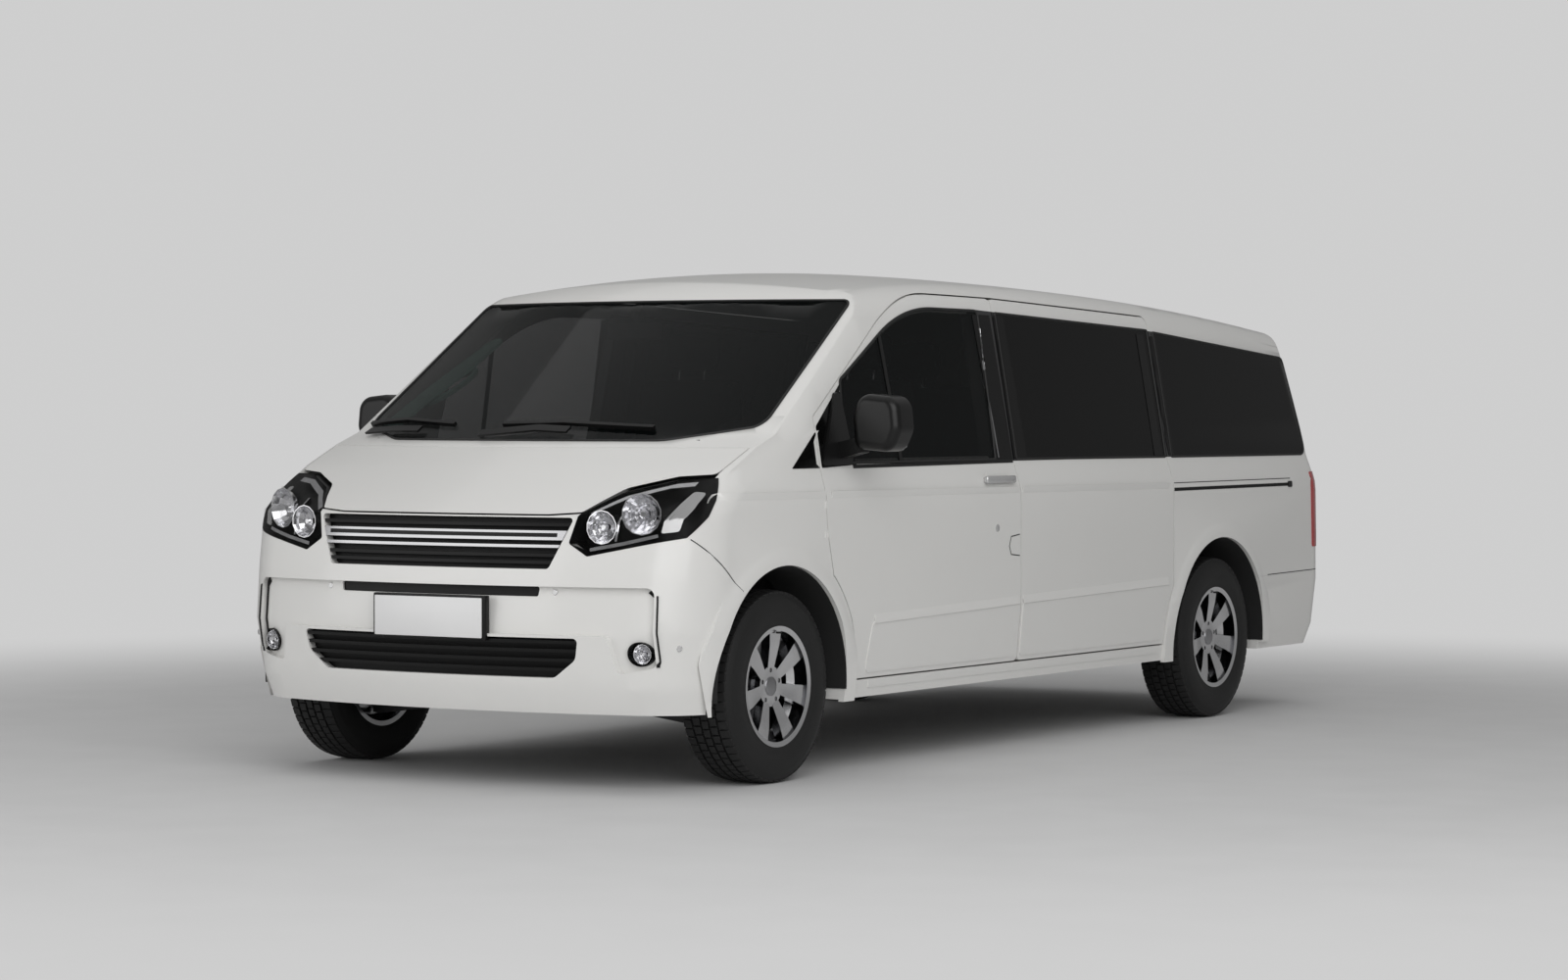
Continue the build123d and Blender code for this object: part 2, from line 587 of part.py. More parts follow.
BAR_ROWS = [(872, 905), (846, 856)]    # bottom and top of each bright bar
bar_back = envelope(GRILLE_BACK - SEAM_GAP, GRILLE_BACK - SEAM_GAP, 10, SKIRT_Z - 20)
bar_front = envelope(-3, -3, 0, SKIRT_Z)
grille_opening = front_prism(grown(symmetric(UPPER_GRILLE_EDGE), -1), -200, 700)
grille_bars = [
    single((bar_front & grille_opening & block(-700, 700, -200, 700, low, high)) - bar_back) for low, high in BAR_ROWS
]
fog_lamp = Pos(FOG_X, at(110), FOG_Z) * Rot(90, 0, 0) * Cylinder(FOG_RADIUS, 300)
fog_lamp = single((fog_lamp & envelope(RECESS_DEPTH - 14, RECESS_DEPTH - 14, 0, SKIRT_Z)) - envelope(90, 90, 10, SKIRT_Z - 20))

# ---------------------------------------------------------------- hinges
# Left door: the hinge line stands upright at the skin; each knuckle turns in a notch of the wing.
DOOR_HINGE_X, DOOR_HINGE_STATION = 1002, 1030
DOOR_KNUCKLES = [(862, 888), (968, 994)]          # bottom and top of each knuckle
KNUCKLE_RADIUS = 5.8
door_hinges, hinge_notches = [], []
for low, high in DOOR_KNUCKLES:
    height = high - low
    pin = Pos(DOOR_HINGE_X, at(DOOR_HINGE_STATION), (low + high) / 2) * Cylinder(KNUCKLE_RADIUS, height)
    leaf = block(DOOR_HINGE_X - KNUCKLE_RADIUS, DOOR_HINGE_X + 2, DOOR_HINGE_STATION, DOOR_HINGE_STATION + 30, low, high)
    door_hinges.append(pin + leaf)
    hinge_notches.append(
        block(DOOR_HINGE_X - 12, 1100, DOOR_HINGE_STATION - 8.5, DOOR_HINGE_STATION + 30, low - SEAM_GAP, high + SEAM_GAP)
    )
for leaf, notch in zip(door_hinges, hinge_notches):
    door_panel = door_panel + leaf
    side_body = side_body - notch

# Bonnet: the hinge line lies across the vehicle under the cowl; bent arms reach down and round its edge.
BONNET_HINGE_STATION, BONNET_HINGE_Z, BONNET_ARM_X, BONNET_ARM_WIDTH = 660, 1200, 700, 24
bonnet_arm = side_prism(
    [
        (BONNET_HINGE_STATION - 7, 1204, 0),
        (BONNET_HINGE_STATION + 7, 1204, 0),
        (BONNET_HINGE_STATION + 7, 1096, 4),
        (520, 1096, 4),
        (520, 1150, 0),
        (534, 1150, 0),
        (534, 1110, 3),
        (BONNET_HINGE_STATION - 7, 1110, 3),
    ],
    BONNET_ARM_X,
    BONNET_ARM_X + BONNET_ARM_WIDTH,
)
bonnet_arm = bonnet_arm + axle_cylinder(
    8, BONNET_HINGE_STATION, BONNET_HINGE_Z, BONNET_ARM_X, BONNET_ARM_X + BONNET_ARM_WIDTH
)
arm_pocket = block(
    BONNET_ARM_X - SEAM_GAP,
    BONNET_ARM_X + BONNET_ARM_WIDTH + SEAM_GAP,
    BONNET_HINGE_STATION - 26,
    BONNET_HINGE_STATION + 16,
    1090,
    1216,
)
bonnet = bonnet + bonnet_arm + mirrored(bonnet_arm)
cowl_panel = cut(cowl_panel, arm_pocket, mirrored(arm_pocket))

# Tailgate: short knuckles on the edge of the roof.
GATE_HINGE_STATION, GATE_HINGE_Z, GATE_HINGE_RADIUS = ROOF_REAR + 3, 1730, 4.5
GATE_KNUCKLES = [(430, 470)]
for low, high in GATE_KNUCKLES:
    leaf = axle_cylinder(GATE_HINGE_RADIUS, GATE_HINGE_STATION, GATE_HINGE_Z, low, high) + block(
        low, high, GATE_HINGE_STATION, GATE_HINGE_STATION + 40, 1685, GATE_HINGE_Z + 2
    )
    tailgate = tailgate + leaf + mirrored(leaf)
    for start, end in ((low - 26, low - SEAM_GAP), (high + SEAM_GAP, high + 26)):
        ear = axle_cylinder(GATE_HINGE_RADIUS, GATE_HINGE_STATION, GATE_HINGE_Z, start, end) + block(
            start, end, GATE_HINGE_STATION - 40, GATE_HINGE_STATION - 1, 1690, GATE_HINGE_Z + 2
        )
        roof_panel = roof_panel + ear + mirrored(ear)

# Sliding door: its lower runner rests on the box sill.
runner = block(ROCKER_OUTER_X + SEAM_GAP, 925, B_POST + 120, SLIDE_REAR - 260, 400, 440)
sliding_panel = sliding_panel + runner

# ---------------------------------------------------------------- door mirror
MIRROR_BASE = [(1052, 1122, 8), (1250, 1122, 8), (1262, 1150, 12), (1236, 1385, 20), (1200, 1385, 20)]
mirror_base = envelope(-12, -20, 0, SKIRT_Z) & side_prism(MIRROR_BASE, 900, SIDE_OUT)
mirror_head = front_prism(
    [(1046, 1180, 40), (1200, 1168, 60), (1238, 1250, 70), (1226, 1368, 60), (1060, 1384, 60), (1036, 1290, 60)],
    1148,
    1262,
)
mirror_head = fillet(mirror_head.edges().group_by(Axis.Y)[0], 34)
mirror_arm = front_prism([(962, 1140, 0), (1070, 1168, 0), (1070, 1226, 0), (950, 1200, 0)], 1170, 1230)
door_mirror = (mirror_base + mirror_head + mirror_arm) - envelope(-SEAM_GAP, -2, 10, SKIRT_Z - 20)

# ---------------------------------------------------------------- underbody
CABIN_FIT = envelope(DOOR_WALL + SEAM_GAP, NOSE_WALL + 8, TAIL_WALL + 4, SKIRT_Z)
PANEL_FIT = envelope(PANEL_WALL + SEAM_GAP, NOSE_WALL + 8, PANEL_WALL + 8, SKIRT_Z)
LINER_RADIUS = 450
FRONT_LINER_X, REAR_LINER_X = 550, 695
RAIL_IN, RAIL_OUT, RAIL_BOTTOM = 400, 460, 400
FLOOR_BOTTOM = FLOOR_TOP - FLOOR_THICKNESS

KINGPIN_FOOT = Vector(800, at(FRONT_AXLE), 200)
KINGPIN_HEAD = Vector(660, at(FRONT_AXLE), 900)
KINGPIN = (KINGPIN_HEAD - KINGPIN_FOOT).normalized()


def kingpin_cylinder(radius, start, end):
    """A cylinder on the left kingpin line, between two distances from its foot."""
    middle = KINGPIN_FOOT + KINGPIN * ((start + end) / 2)
    return Plane(middle, z_dir=KINGPIN) * Cylinder(radius, end - start)


def liner(station, inner_x, lowest, fit):
    """Half of a drum about a left wheel, closed on its inner side."""
    outside = axle_cylinder(LINER_RADIUS + LINER_WALL, station, TYRE_RADIUS, inner_x, 1010)
    inside = axle_cylinder(LINER_RADIUS, station, TYRE_RADIUS, inner_x + LINER_WALL, 1020)
    shell = (outside - inside) & block(500, 1010, station - 600, station + 600, lowest, 900)
    return shell & fit


STRUT_TOP = 586
front_fit_ahead = PANEL_FIT & block(500, 1010, 0, FIREWALL_STATION - 1, 100, 1000)
front_fit_behind = CABIN_FIT & block(500, 1010, FIREWALL_STATION - 1, 1400, 100, 1000)
front_liner = liner(FRONT_AXLE, FRONT_LINER_X, 300, front_fit_ahead + front_fit_behind)
front_liner = front_liner + (
    kingpin_cylinder(44, STRUT_TOP + 0.5, STRUT_TOP + 40)
    & axle_cylinder(LINER_RADIUS + LINER_WALL, FRONT_AXLE, TYRE_RADIUS, 560, 800)
)
rear_liner = liner(REAR_AXLE, REAR_LINER_X, 400, CABIN_FIT)

plate = block(-799.7, 799.7, FIREWALL_STATION, SLIDE_REAR + 11, FLOOR_BOTTOM, FLOOR_TOP)
rear_plate = block(-950, 950, SLIDE_REAR + 11, LENGTH - 100, FLOOR_BOTTOM, FLOOR_TOP) & CABIN_FIT
firewall = block(-950, 950, FIREWALL_STATION, FIREWALL_STATION + 30, FLOOR_BOTTOM, 1077)
shelf = block(-900, 900, 730, FIREWALL_STATION + 30, 1062, 1077)
floor_pan = plate + rear_plate + ((firewall + shelf) & CABIN_FIT)
for side in (-1, 1):
    low, high = sorted((side * RAIL_IN, side * RAIL_OUT))
    floor_pan = floor_pan + block(low, high, 170, LENGTH - 130, RAIL_BOTTOM, FLOOR_BOTTOM)
for station, inner_x in ((FRONT_AXLE, FRONT_LINER_X), (REAR_AXLE, REAR_LINER_X)):
    space = arch_tool(station, LINER_RADIUS + LINER_WALL + SEAM_GAP, inner_x - SEAM_GAP)
    floor_pan = cut(floor_pan, space, mirrored(space))

# Crossmember with the lower arms out to the ball joints.
ARM_HALF_WIDTH = 38
crossmember = block(-420, 420, FRONT_AXLE - 70, FRONT_AXLE + 70, 225, 300)
arm = front_prism(
    [(400, 228, 0), (770, 178, 0), (806, 182, 0), (806, 210, 0), (770, 214, 0), (400, 292, 0)],
    FRONT_AXLE - ARM_HALF_WIDTH,
    FRONT_AXLE + ARM_HALF_WIDTH,
)
arm = cut(arm, kingpin_cylinder(60, 19.5, 60)) + kingpin_cylinder(34, -8, 19.5)
leg = block(RAIL_IN, RAIL_OUT - 40, FRONT_AXLE - 50, FRONT_AXLE + 50, 280, RAIL_BOTTOM - SEAM_GAP)
engine_pad = block(200, 280, FRONT_AXLE - 60, FRONT_AXLE + 60, 290, 380 - SEAM_GAP)
front_subframe = crossmember
for piece in (arm, leg, engine_pad):
    front_subframe = front_subframe + piece + mirrored(piece)
engine_block = block(-300, 300, 400, 900, 380, 930)

HUB_REACH = 62                   # the spindle ends this far outboard of the wheel's middle
SPINDLE_RADIUS, BORE_RADIUS = 30, 30.3
spindle = axle_cylinder(SPINDLE_RADIUS, FRONT_AXLE, TYRE_RADIUS, 840, WHEEL_X + HUB_REACH)
carrier = axle_cylinder(58, FRONT_AXLE, TYRE_RADIUS, 762, 858)
knuckle = carrier + spindle + kingpin_cylinder(28, 20, STRUT_TOP)

rear_axle = axle_cylinder(40, REAR_AXLE, TYRE_RADIUS, -820, 820)
rear_axle = rear_axle + axle_cylinder(SPINDLE_RADIUS, REAR_AXLE, TYRE_RADIUS, -WHEEL_X - HUB_REACH, WHEEL_X + HUB_REACH)
rear_axle = rear_axle + axle_cylinder(105, REAR_AXLE, TYRE_RADIUS - 10, -90, 90)
spring = side_prism(
    [
        (REAR_AXLE - 600, 440, 0),
        (REAR_AXLE, 368, 2500),
        (REAR_AXLE + 600, 440, 0),
        (REAR_AXLE + 600, FLOOR_BOTTOM - SEAM_GAP, 0),
        (REAR_AXLE + 560, FLOOR_BOTTOM - SEAM_GAP, 0),
        (REAR_AXLE + 545, 452, 0),
        (REAR_AXLE, 392, 2500),
        (REAR_AXLE - 545, 452, 0),
        (REAR_AXLE - 560, FLOOR_BOTTOM - SEAM_GAP, 0),
        (REAR_AXLE - 600, FLOOR_BOTTOM - SEAM_GAP, 0),
    ],
    490,
    550,
)
spring = spring + block(485, 555, REAR_AXLE - 50, REAR_AXLE + 50, 345, 402)
rear_axle = rear_axle + spring + mirrored(spring)


def tube(points, radius):
    """Round pipe through (x, station, z) points, with a ball at every bend."""
    pipe = None
    for (x0, s0, z0), (x1, s1, z1) in zip(points, points[1:]):
        start, end = Vector(x0, at(s0), z0), Vector(x1, at(s1), z1)
        along = end - start
        piece = Plane((start + end) / 2, z_dir=along.normalized()) * Cylinder(radius, along.length)
        pipe = piece if pipe is None else pipe + piece
        if (x1, s1, z1) != points[-1]:
            pipe = pipe + Pos(*end) * Sphere(radius * 1.002)
    return pipe


EXHAUST_X = 240
exhaust = tube(
    [(EXHAUST_X, 960, 345), (EXHAUST_X, 1300, 400), (EXHAUST_X, 4020, 400), (EXHAUST_X, 4140, 255),
     (EXHAUST_X, 4380, 255), (EXHAUST_X + 60, 4620, 380), (EXHAUST_X + 330, 5290, 330)], 24,
)
exhaust = exhaust + Pos(EXHAUST_X, at(3000), 390) * Rot(90, 0, 0) * Cylinder(70, 620)
for station in (1500, 2700, 3300):
    exhaust = exhaust + block(EXHAUST_X - 10, EXHAUST_X + 10, station - 15, station + 15, 410, FLOOR_BOTTOM - SEAM_GAP)
fuel_tank = block(-370, 110, 2450, 3350, 268, FLOOR_BOTTOM - SEAM_GAP)
fuel_tank = fillet(fuel_tank.edges().group_by(Axis.Z)[0], 45)

# ---------------------------------------------------------------- wheels
TYRE_PROFILE = [                 # offset from the wheel's middle, radius; the hidden inboard wall is plain
    (-95, RIM_RADIUS + BEAD_GAP), (-100, TYRE_RADIUS), (84, TYRE_RADIUS), (TYRE_WIDTH / 2, 272), (95, RIM_RADIUS + BEAD_GAP),
]
RIM_PROFILE = [
    (-100, 215), (-95.3, 203), (-62, 203), (-45, 180), (25, 180), (45, 203), (95.3, 203), (99, 215), (101, 215),
    (97, 197), (43, 197), (23, 174), (-43, 174), (-60, 197), (-98, 197),
]
SPOKES = 7
SPOKE_INNER, SPOKE_OUTER = 34, 76            # width near the hub and at the barrel
DISH_PROFILE = [(34, 50), (34, 66), (56, 199), (88, 199), (84, 150), (68, 66), (66, 50)]
BOLT_CIRCLE, BOLT_RADIUS = 114.3, 8


def ring(profile):
    return revolve(make_face(Polyline(*[(x, 0, r) for x, r in profile], close=True)), Axis.X, 360)


def wheel_rim():
    """Barrel, dished spokes, hub, brake disc; the middle plane at the origin, outboard towards +X."""
    dish = ring(DISH_PROFILE)
    spoke = extrude(
        make_face(
            Polyline(
                (0, -SPOKE_INNER / 2, 40), (0, SPOKE_INNER / 2, 40), (0, SPOKE_OUTER / 2, 202),
                (0, -SPOKE_OUTER / 2, 202), close=True,
            )
        ),
        amount=120,
        dir=(1, 0, 0),
    )
    rim = ring(RIM_PROFILE)
    for k in range(SPOKES):
        rim = rim + (dish & (Rot(360 / SPOKES * k, 0, 0) * spoke))
    hub = Pos(49, 0, 0) * Rot(0, 90, 0) * Cylinder(72, 38)
    disc = Pos(2, 0, 0) * Rot(0, 90, 0) * Cylinder(150, 22)
    hat = Pos(20, 0, 0) * Rot(0, 90, 0) * Cylinder(84, 34)
    rim = rim + hub + disc + hat
    for k in range(5):
        turn = Rot(72 * k, 0, 0)
        rim = rim - turn * (Pos(60, 0, BOLT_CIRCLE / 2) * Rot(0, 90, 0) * Cylinder(BOLT_RADIUS, 60))
    return rim - Pos(HUB_REACH - 98.7, 0, 0) * Rot(0, 90, 0) * Cylinder(BORE_RADIUS, 200)


tyre_form, rim_form = ring(TYRE_PROFILE), wheel_rim()


def wheel_place(side, station):
    return Pos(side * WHEEL_X, at(station), TYRE_RADIUS) * (Rot(0, 0, 0) if side > 0 else Rot(0, 0, 180))


# ---------------------------------------------------------------- inside
dashboard = side_prism(
    [
        (740, 1077 + SEAM_GAP, 0), (1050 + SEAM_GAP, 1077 + SEAM_GAP, 0), (1050 + SEAM_GAP, 800, 0), (1180, 800, 20),
        (1360, 930, 40), (1372, 1110, 40), (1240, 1172, 60), (800, 1172, 20),
    ],
    -880,
    880,
) & envelope(DOOR_WALL + 4, NOSE_WALL + 60, TAIL_WALL, SKIRT_Z)
WHEEL_CENTRE = (400, 1480, 1105)
steering_tilt = Rot(-62, 0, 0)
steering_place = Pos(WHEEL_CENTRE[0], at(WHEEL_CENTRE[1]), WHEEL_CENTRE[2]) * steering_tilt
GRIP_RADIUS, GRIP_SIDES = 13, 8
grip = Pos(185, 0, 0) * Rot(90, 0, 0) * RegularPolygon(GRIP_RADIUS, GRIP_SIDES)
steering_wheel = revolve(grip, Axis.Z, 360) + Pos(0, 0, -12) * Cylinder(44, 34)
for angle in (0, 180, 270):
    steering_wheel = steering_wheel + Rot(0, 0, angle) * (Pos(110, 0, -10) * Box(150, 26, 12))
steering_wheel = steering_place * (steering_wheel + Pos(0, 0, -110) * Cylinder(26, 190))
steering_wheel = steering_wheel - (dashboard + Pos(0, 0, 0.5) * dashboard)

SEAT_FLOOR = FLOOR_TOP + SEAM_GAP


def seat(front, x_from, x_to, cushion_z, length=500, back_height=640):
    """Cushion on a plinth, with a leaning back; front is the station of the cushion's front edge."""
    lean = 90
    profile = [
        (front + 30, SEAT_FLOOR, 0),
        (front + 30, cushion_z - 130, 20),
        (front, cushion_z - 110, 20),
        (front, cushion_z, 45),
        (front + length - 40, cushion_z - 20, 25),
        (front + length + lean - 30, cushion_z + back_height, 45),
        (front + length + lean + 80, cushion_z + back_height, 45),
        (front + length + 90, cushion_z - 110, 30),
        (front + length - 20, cushion_z - 140, 20),
        (front + length - 40, SEAT_FLOOR, 0),
    ]
    return side_prism(profile, x_from, x_to)


def headrest(front, x, cushion_z, length=500, back_height=640):
    s = front + length + 90
    pad = side_prism(
        [(s - 40, cushion_z + back_height + 30, 25), (s + 60, cushion_z + back_height + 30, 25),
         (s + 75, cushion_z + back_height + 190, 30), (s - 15, cushion_z + back_height + 190, 30)],
        x - 130,
        x + 130,
    )
    return pad + Pos(x, at(s + 10), cushion_z + back_height + 20) * Cylinder(9, 60)


FRONT_SEAT_X = (400, 250)        # middle and half width
FRONT_ROW, FRONT_CUSHION = 1660, 905
front_seat = seat(FRONT_ROW, 150, 650, FRONT_CUSHION, 500, 560) + headrest(FRONT_ROW, 400, FRONT_CUSHION, 500, 560)
BENCHES = [(2760, 620), (3480, 620), (4180, 620)]
REAR_CUSHION = 900
bench_rows = []
for front, half in BENCHES:
    row = seat(front, -half, half, REAR_CUSHION, 470, 540)
    for x in (-410, 0, 410):
        row = row + headrest(front, x, REAR_CUSHION, 470, 540)
    bench_rows.append(row)

# ---------------------------------------------------------------- nodes
os.makedirs("parts", exist_ok=True)


def pair(shape):
    """A left piece and its mirror image, as two solids of one node."""
    return [single(shape), single(mirrored(shape))]


NODES = {
    "roof_panel": [roof_panel],
    "side_body_left": [single(side_body)],
    "side_body_right": [single(mirrored(side_body))],
    "cowl_panel": [cowl_panel],
    "floor_pan": [floor_pan],
    "wheelhouse_liners": pair(front_liner) + pair(rear_liner),
    "front_bumper": [single(front_bumper)],
    "rear_bumper": [single(rear_bumper)],
    "front_grilles": [upper_grille, lower_grille, slot_grille],
    "grille_bars": grille_bars,
    "front_lamps": pair(headlamp) + pair(fog_lamp),
    "tail_lamps": pair(tail_lamp),
    "windscreen": [windscreen],
    "quarter_glass": pair(quarter_glass),
    "sliding_door_left": [single(sliding_panel)],
    "sliding_door_right": [single(mirrored(sliding_panel))],
    "sliding_door_glass": pair(sliding_glass),
    "dashboard": [single(dashboard)],
    "steering_wheel": [single(steering_wheel)],
    "front_seats": pair(front_seat),
    "rear_seats": bench_rows,
    "engine_block": [engine_block],
    "front_subframe": [front_subframe],
    "rear_axle": [rear_axle],
    "exhaust": [exhaust],
    "fuel_tank": [fuel_tank],
    "bonnet": [single(bonnet)],
    "door_left": [single(door_panel)],
    "door_right": [single(mirrored(door_panel))],
    "door_glass_left": [door_glass],
    "door_glass_right": [single(mirrored(door_glass))],
    "mirror_left": [single(door_mirror)],
    "mirror_right": [single(mirrored(door_mirror))],
    "tailgate": [single(tailgate)],
    "tailgate_glass": [single(tailgate_glass)],
    "knuckle_left": [knuckle],
    "knuckle_right": [mirrored(knuckle)],
}
for end, station in (("front", FRONT_AXLE), ("rear", REAR_AXLE)):
    for name, side in (("left", 1), ("right", -1)):
        NODES[f"{end}_{name}_tyre"] = [wheel_place(side, station) * tyre_form]
        NODES[f"{end}_{name}_rim"] = [wheel_place(side, station) * rim_form]
for name, shapes in NODES.items():
    export(name, shapes)
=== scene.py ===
from math import atan2, cos, pi, radians, sin

import bmesh
import bpy
from mathutils import Matrix, Vector
from mathutils.bvhtree import BVHTree


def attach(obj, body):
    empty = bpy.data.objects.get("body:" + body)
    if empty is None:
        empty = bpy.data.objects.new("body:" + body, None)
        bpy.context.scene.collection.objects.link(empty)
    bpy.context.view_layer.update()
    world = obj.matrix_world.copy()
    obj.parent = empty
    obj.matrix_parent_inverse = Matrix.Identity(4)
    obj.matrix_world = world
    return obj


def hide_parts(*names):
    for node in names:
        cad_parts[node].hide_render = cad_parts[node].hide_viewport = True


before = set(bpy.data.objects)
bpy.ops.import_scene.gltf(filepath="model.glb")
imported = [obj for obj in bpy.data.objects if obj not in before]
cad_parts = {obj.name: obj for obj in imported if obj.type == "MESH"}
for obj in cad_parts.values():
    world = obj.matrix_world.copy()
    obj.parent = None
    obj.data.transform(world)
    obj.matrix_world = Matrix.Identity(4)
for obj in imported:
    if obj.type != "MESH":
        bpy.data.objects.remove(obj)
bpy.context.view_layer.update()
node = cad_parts
bpy.ops.object.select_all(action="DESELECT")
scene = bpy.context.scene
scene.view_settings.view_transform = "Standard"


# Painted sheet metal: roof, sides, doors, bonnet, tailgate, cowl and bumpers.
# Pearl white lacquer under a clear coat; the frames between the side windows are gloss black.
def surface(name, colour, roughness=0.5, metallic=0.0, coat=0.0, grain=0.0, grain_scale=300.0,
            patchiness=0.06, patch_scale=3.0, shine=0.5):
    """A finish with slow colour drift, uneven gloss and, if asked for, a fine grain."""
    finish = bpy.data.materials.new(name)
    finish.use_nodes = True
    tree = finish.node_tree
    shader = tree.nodes["Principled BSDF"]
    shader.inputs["Metallic"].default_value = metallic
    shader.inputs["Coat Weight"].default_value = coat
    shader.inputs["Specular IOR Level"].default_value = shine
    shader.inputs["Coat Roughness"].default_value = 0.09
    place = tree.nodes.new("ShaderNodeTexCoord")
    drift = tree.nodes.new("ShaderNodeTexNoise")
    drift.inputs["Scale"].default_value = patch_scale
    drift.inputs["Detail"].default_value = 4
    tree.links.new(place.outputs["Object"], drift.inputs["Vector"])
    ramp = tree.nodes.new("ShaderNodeValToRGB")
    low, high = 1 - patchiness, 1 + patchiness
    ramp.color_ramp.elements[0].position = 0.3
    ramp.color_ramp.elements[1].position = 0.7
    ramp.color_ramp.elements[0].color = [min(c * low, 1) for c in colour] + [1]
    ramp.color_ramp.elements[1].color = [min(c * high, 1) for c in colour] + [1]
    tree.links.new(drift.outputs["Fac"], ramp.inputs["Fac"])
    tree.links.new(ramp.outputs["Color"], shader.inputs["Base Color"])
    gloss = tree.nodes.new("ShaderNodeMapRange")
    gloss.inputs["To Min"].default_value = roughness * 0.88
    gloss.inputs["To Max"].default_value = min(roughness * 1.12, 1)
    tree.links.new(drift.outputs["Fac"], gloss.inputs["Value"])
    tree.links.new(gloss.outputs["Result"], shader.inputs["Roughness"])
    if grain:
        fine = tree.nodes.new("ShaderNodeTexNoise")
        fine.inputs["Scale"].default_value = grain_scale
        fine.inputs["Detail"].default_value = 3
        tree.links.new(place.outputs["Object"], fine.inputs["Vector"])
        bump = tree.nodes.new("ShaderNodeBump")
        bump.inputs["Strength"].default_value = grain
        bump.inputs["Distance"].default_value = 0.001
        tree.links.new(fine.outputs["Fac"], bump.inputs["Height"])
        tree.links.new(bump.outputs["Normal"], shader.inputs["Normal"])
    return finish


def alone(piece):
    """Selects one piece and nothing else."""
    bpy.ops.object.select_all(action="DESELECT")
    bpy.context.view_layer.objects.active = piece
    piece.select_set(True)


def dressed(name, finish, angle=50):
    """Gives a frame node its finish, and smooths it between edges sharper than the angle."""
    part = node[name]
    alone(part)
    if part.data.has_custom_normals:
        bpy.ops.mesh.customdata_custom_splitnormals_clear()
    part.select_set(False)
    for face in part.data.polygons:
        face.use_smooth = True
    part.data.materials.clear()
    part.data.materials.append(finish)
    weld = part.modifiers.new("joined", "WELD")
    weld.merge_threshold = WELD_DISTANCE
    split = part.modifiers.new("creases", "EDGE_SPLIT")
    split.split_angle = radians(angle)
    return part


WELD_DISTANCE = 0.00005
WHITE = (0.78, 0.775, 0.755)
LACQUER = {"roughness": 0.34, "coat": 0.45, "patchiness": 0.012, "patch_scale": 1.2}
paint = surface("pearl_white", WHITE, **LACQUER)
# The black band between the windows: its height at the door's rear edge, its slope towards the tail,
# the height of its foot, and where it starts and ends along the side.
BAND_TOP, BAND_SLOPE, BAND_FOOT = 1.712, -0.0415, 1.121
BAND_START, BAND_END = -0.405, 1.150


def banded_paint():
    """White lacquer that turns gloss black between the side windows."""
    finish = surface("pearl_white_with_black_frames", WHITE, **LACQUER)
    tree = finish.node_tree
    shader = tree.nodes["Principled BSDF"]
    white = tree.nodes["Color Ramp"]
    place = tree.nodes["Texture Coordinate"]
    split = tree.nodes.new("ShaderNodeSeparateXYZ")
    tree.links.new(place.outputs["Object"], split.inputs["Vector"])

    def compare(operation, value, limit):
        test = tree.nodes.new("ShaderNodeMath")
        test.operation = operation
        tree.links.new(value, test.inputs[0])
        if isinstance(limit, float):
            test.inputs[1].default_value = limit
        else:
            tree.links.new(limit, test.inputs[1])
        return test.outputs["Value"]

    top = compare("MULTIPLY", split.outputs["Y"], BAND_SLOPE)
    top = compare("ADD", top, BAND_TOP - BAND_START * BAND_SLOPE)
    inside = compare("GREATER_THAN", split.outputs["Y"], BAND_START)
    inside = compare("MULTIPLY", inside, compare("LESS_THAN", split.outputs["Y"], BAND_END))
    inside = compare("MULTIPLY", inside, compare("GREATER_THAN", split.outputs["Z"], BAND_FOOT))
    inside = compare("MULTIPLY", inside, compare("LESS_THAN", split.outputs["Z"], top))
    mix = tree.nodes.new("ShaderNodeMix")
    mix.data_type = "RGBA"
    mix.inputs["B"].default_value = (0.006, 0.006, 0.007, 1)
    tree.links.new(inside, mix.inputs["Factor"])
    tree.links.new(white.outputs["Color"], mix.inputs["A"])
    tree.links.new(mix.outputs["Result"], shader.inputs["Base Color"])
    return finish


framed_paint = banded_paint()
for name in ("roof_panel", "cowl_panel", "front_bumper", "rear_bumper", "bonnet", "tailgate"):
    dressed(name, paint)
for panel in ("side_body", "door", "sliding_door"):
    for side in ("left", "right"):
        dressed(f"{panel}_{side}", framed_paint)


# Windows: dark tinted safety glass.
# A clear windscreen and front side windows, and privacy glass behind them.
def glazing(name, tint, clearness):
    glass = surface(name, tint, roughness=0.03, coat=0.0, patchiness=0.02)
    shader = glass.node_tree.nodes["Principled BSDF"]
    shader.inputs["Alpha"].default_value = 1 - clearness
    shader.inputs["IOR"].default_value = 1.5
    shader.inputs["Specular IOR Level"].default_value = 0.16
    return glass


clear_glass = glazing("windscreen_glass", (0.002, 0.003, 0.003), 0.42)
privacy_glass = glazing("privacy_glass", (0.002, 0.002, 0.002), 0.05)
for name in ("windscreen", "door_glass_left", "door_glass_right"):
    dressed(name, clear_glass)
for name in ("sliding_door_glass", "quarter_glass", "tailgate_glass"):
    dressed(name, privacy_glass)

# Front and tail fittings: black grille inserts behind bright bars, and the lamps.
# Moulded plastic clipped into the bumper; the bars are chromed and the tail lamps are red acrylic.
grille_black = surface("grille_black", (0.004, 0.004, 0.004), roughness=0.42, grain=0.1, shine=0.25)
bright = surface("chromed_plastic", (0.5, 0.5, 0.51), roughness=0.16, metallic=1.0, patchiness=0.05,
                 patch_scale=2)
dressed("front_grilles", grille_black)
dressed("grille_bars", bright)
lens = glazing("lamp_lens", (0.55, 0.57, 0.58), 0.6)
dressed("front_lamps", lens)
red_lens = surface("red_lens", (0.42, 0.008, 0.01), roughness=0.12, coat=0.8)
dressed("tail_lamps", red_lens)

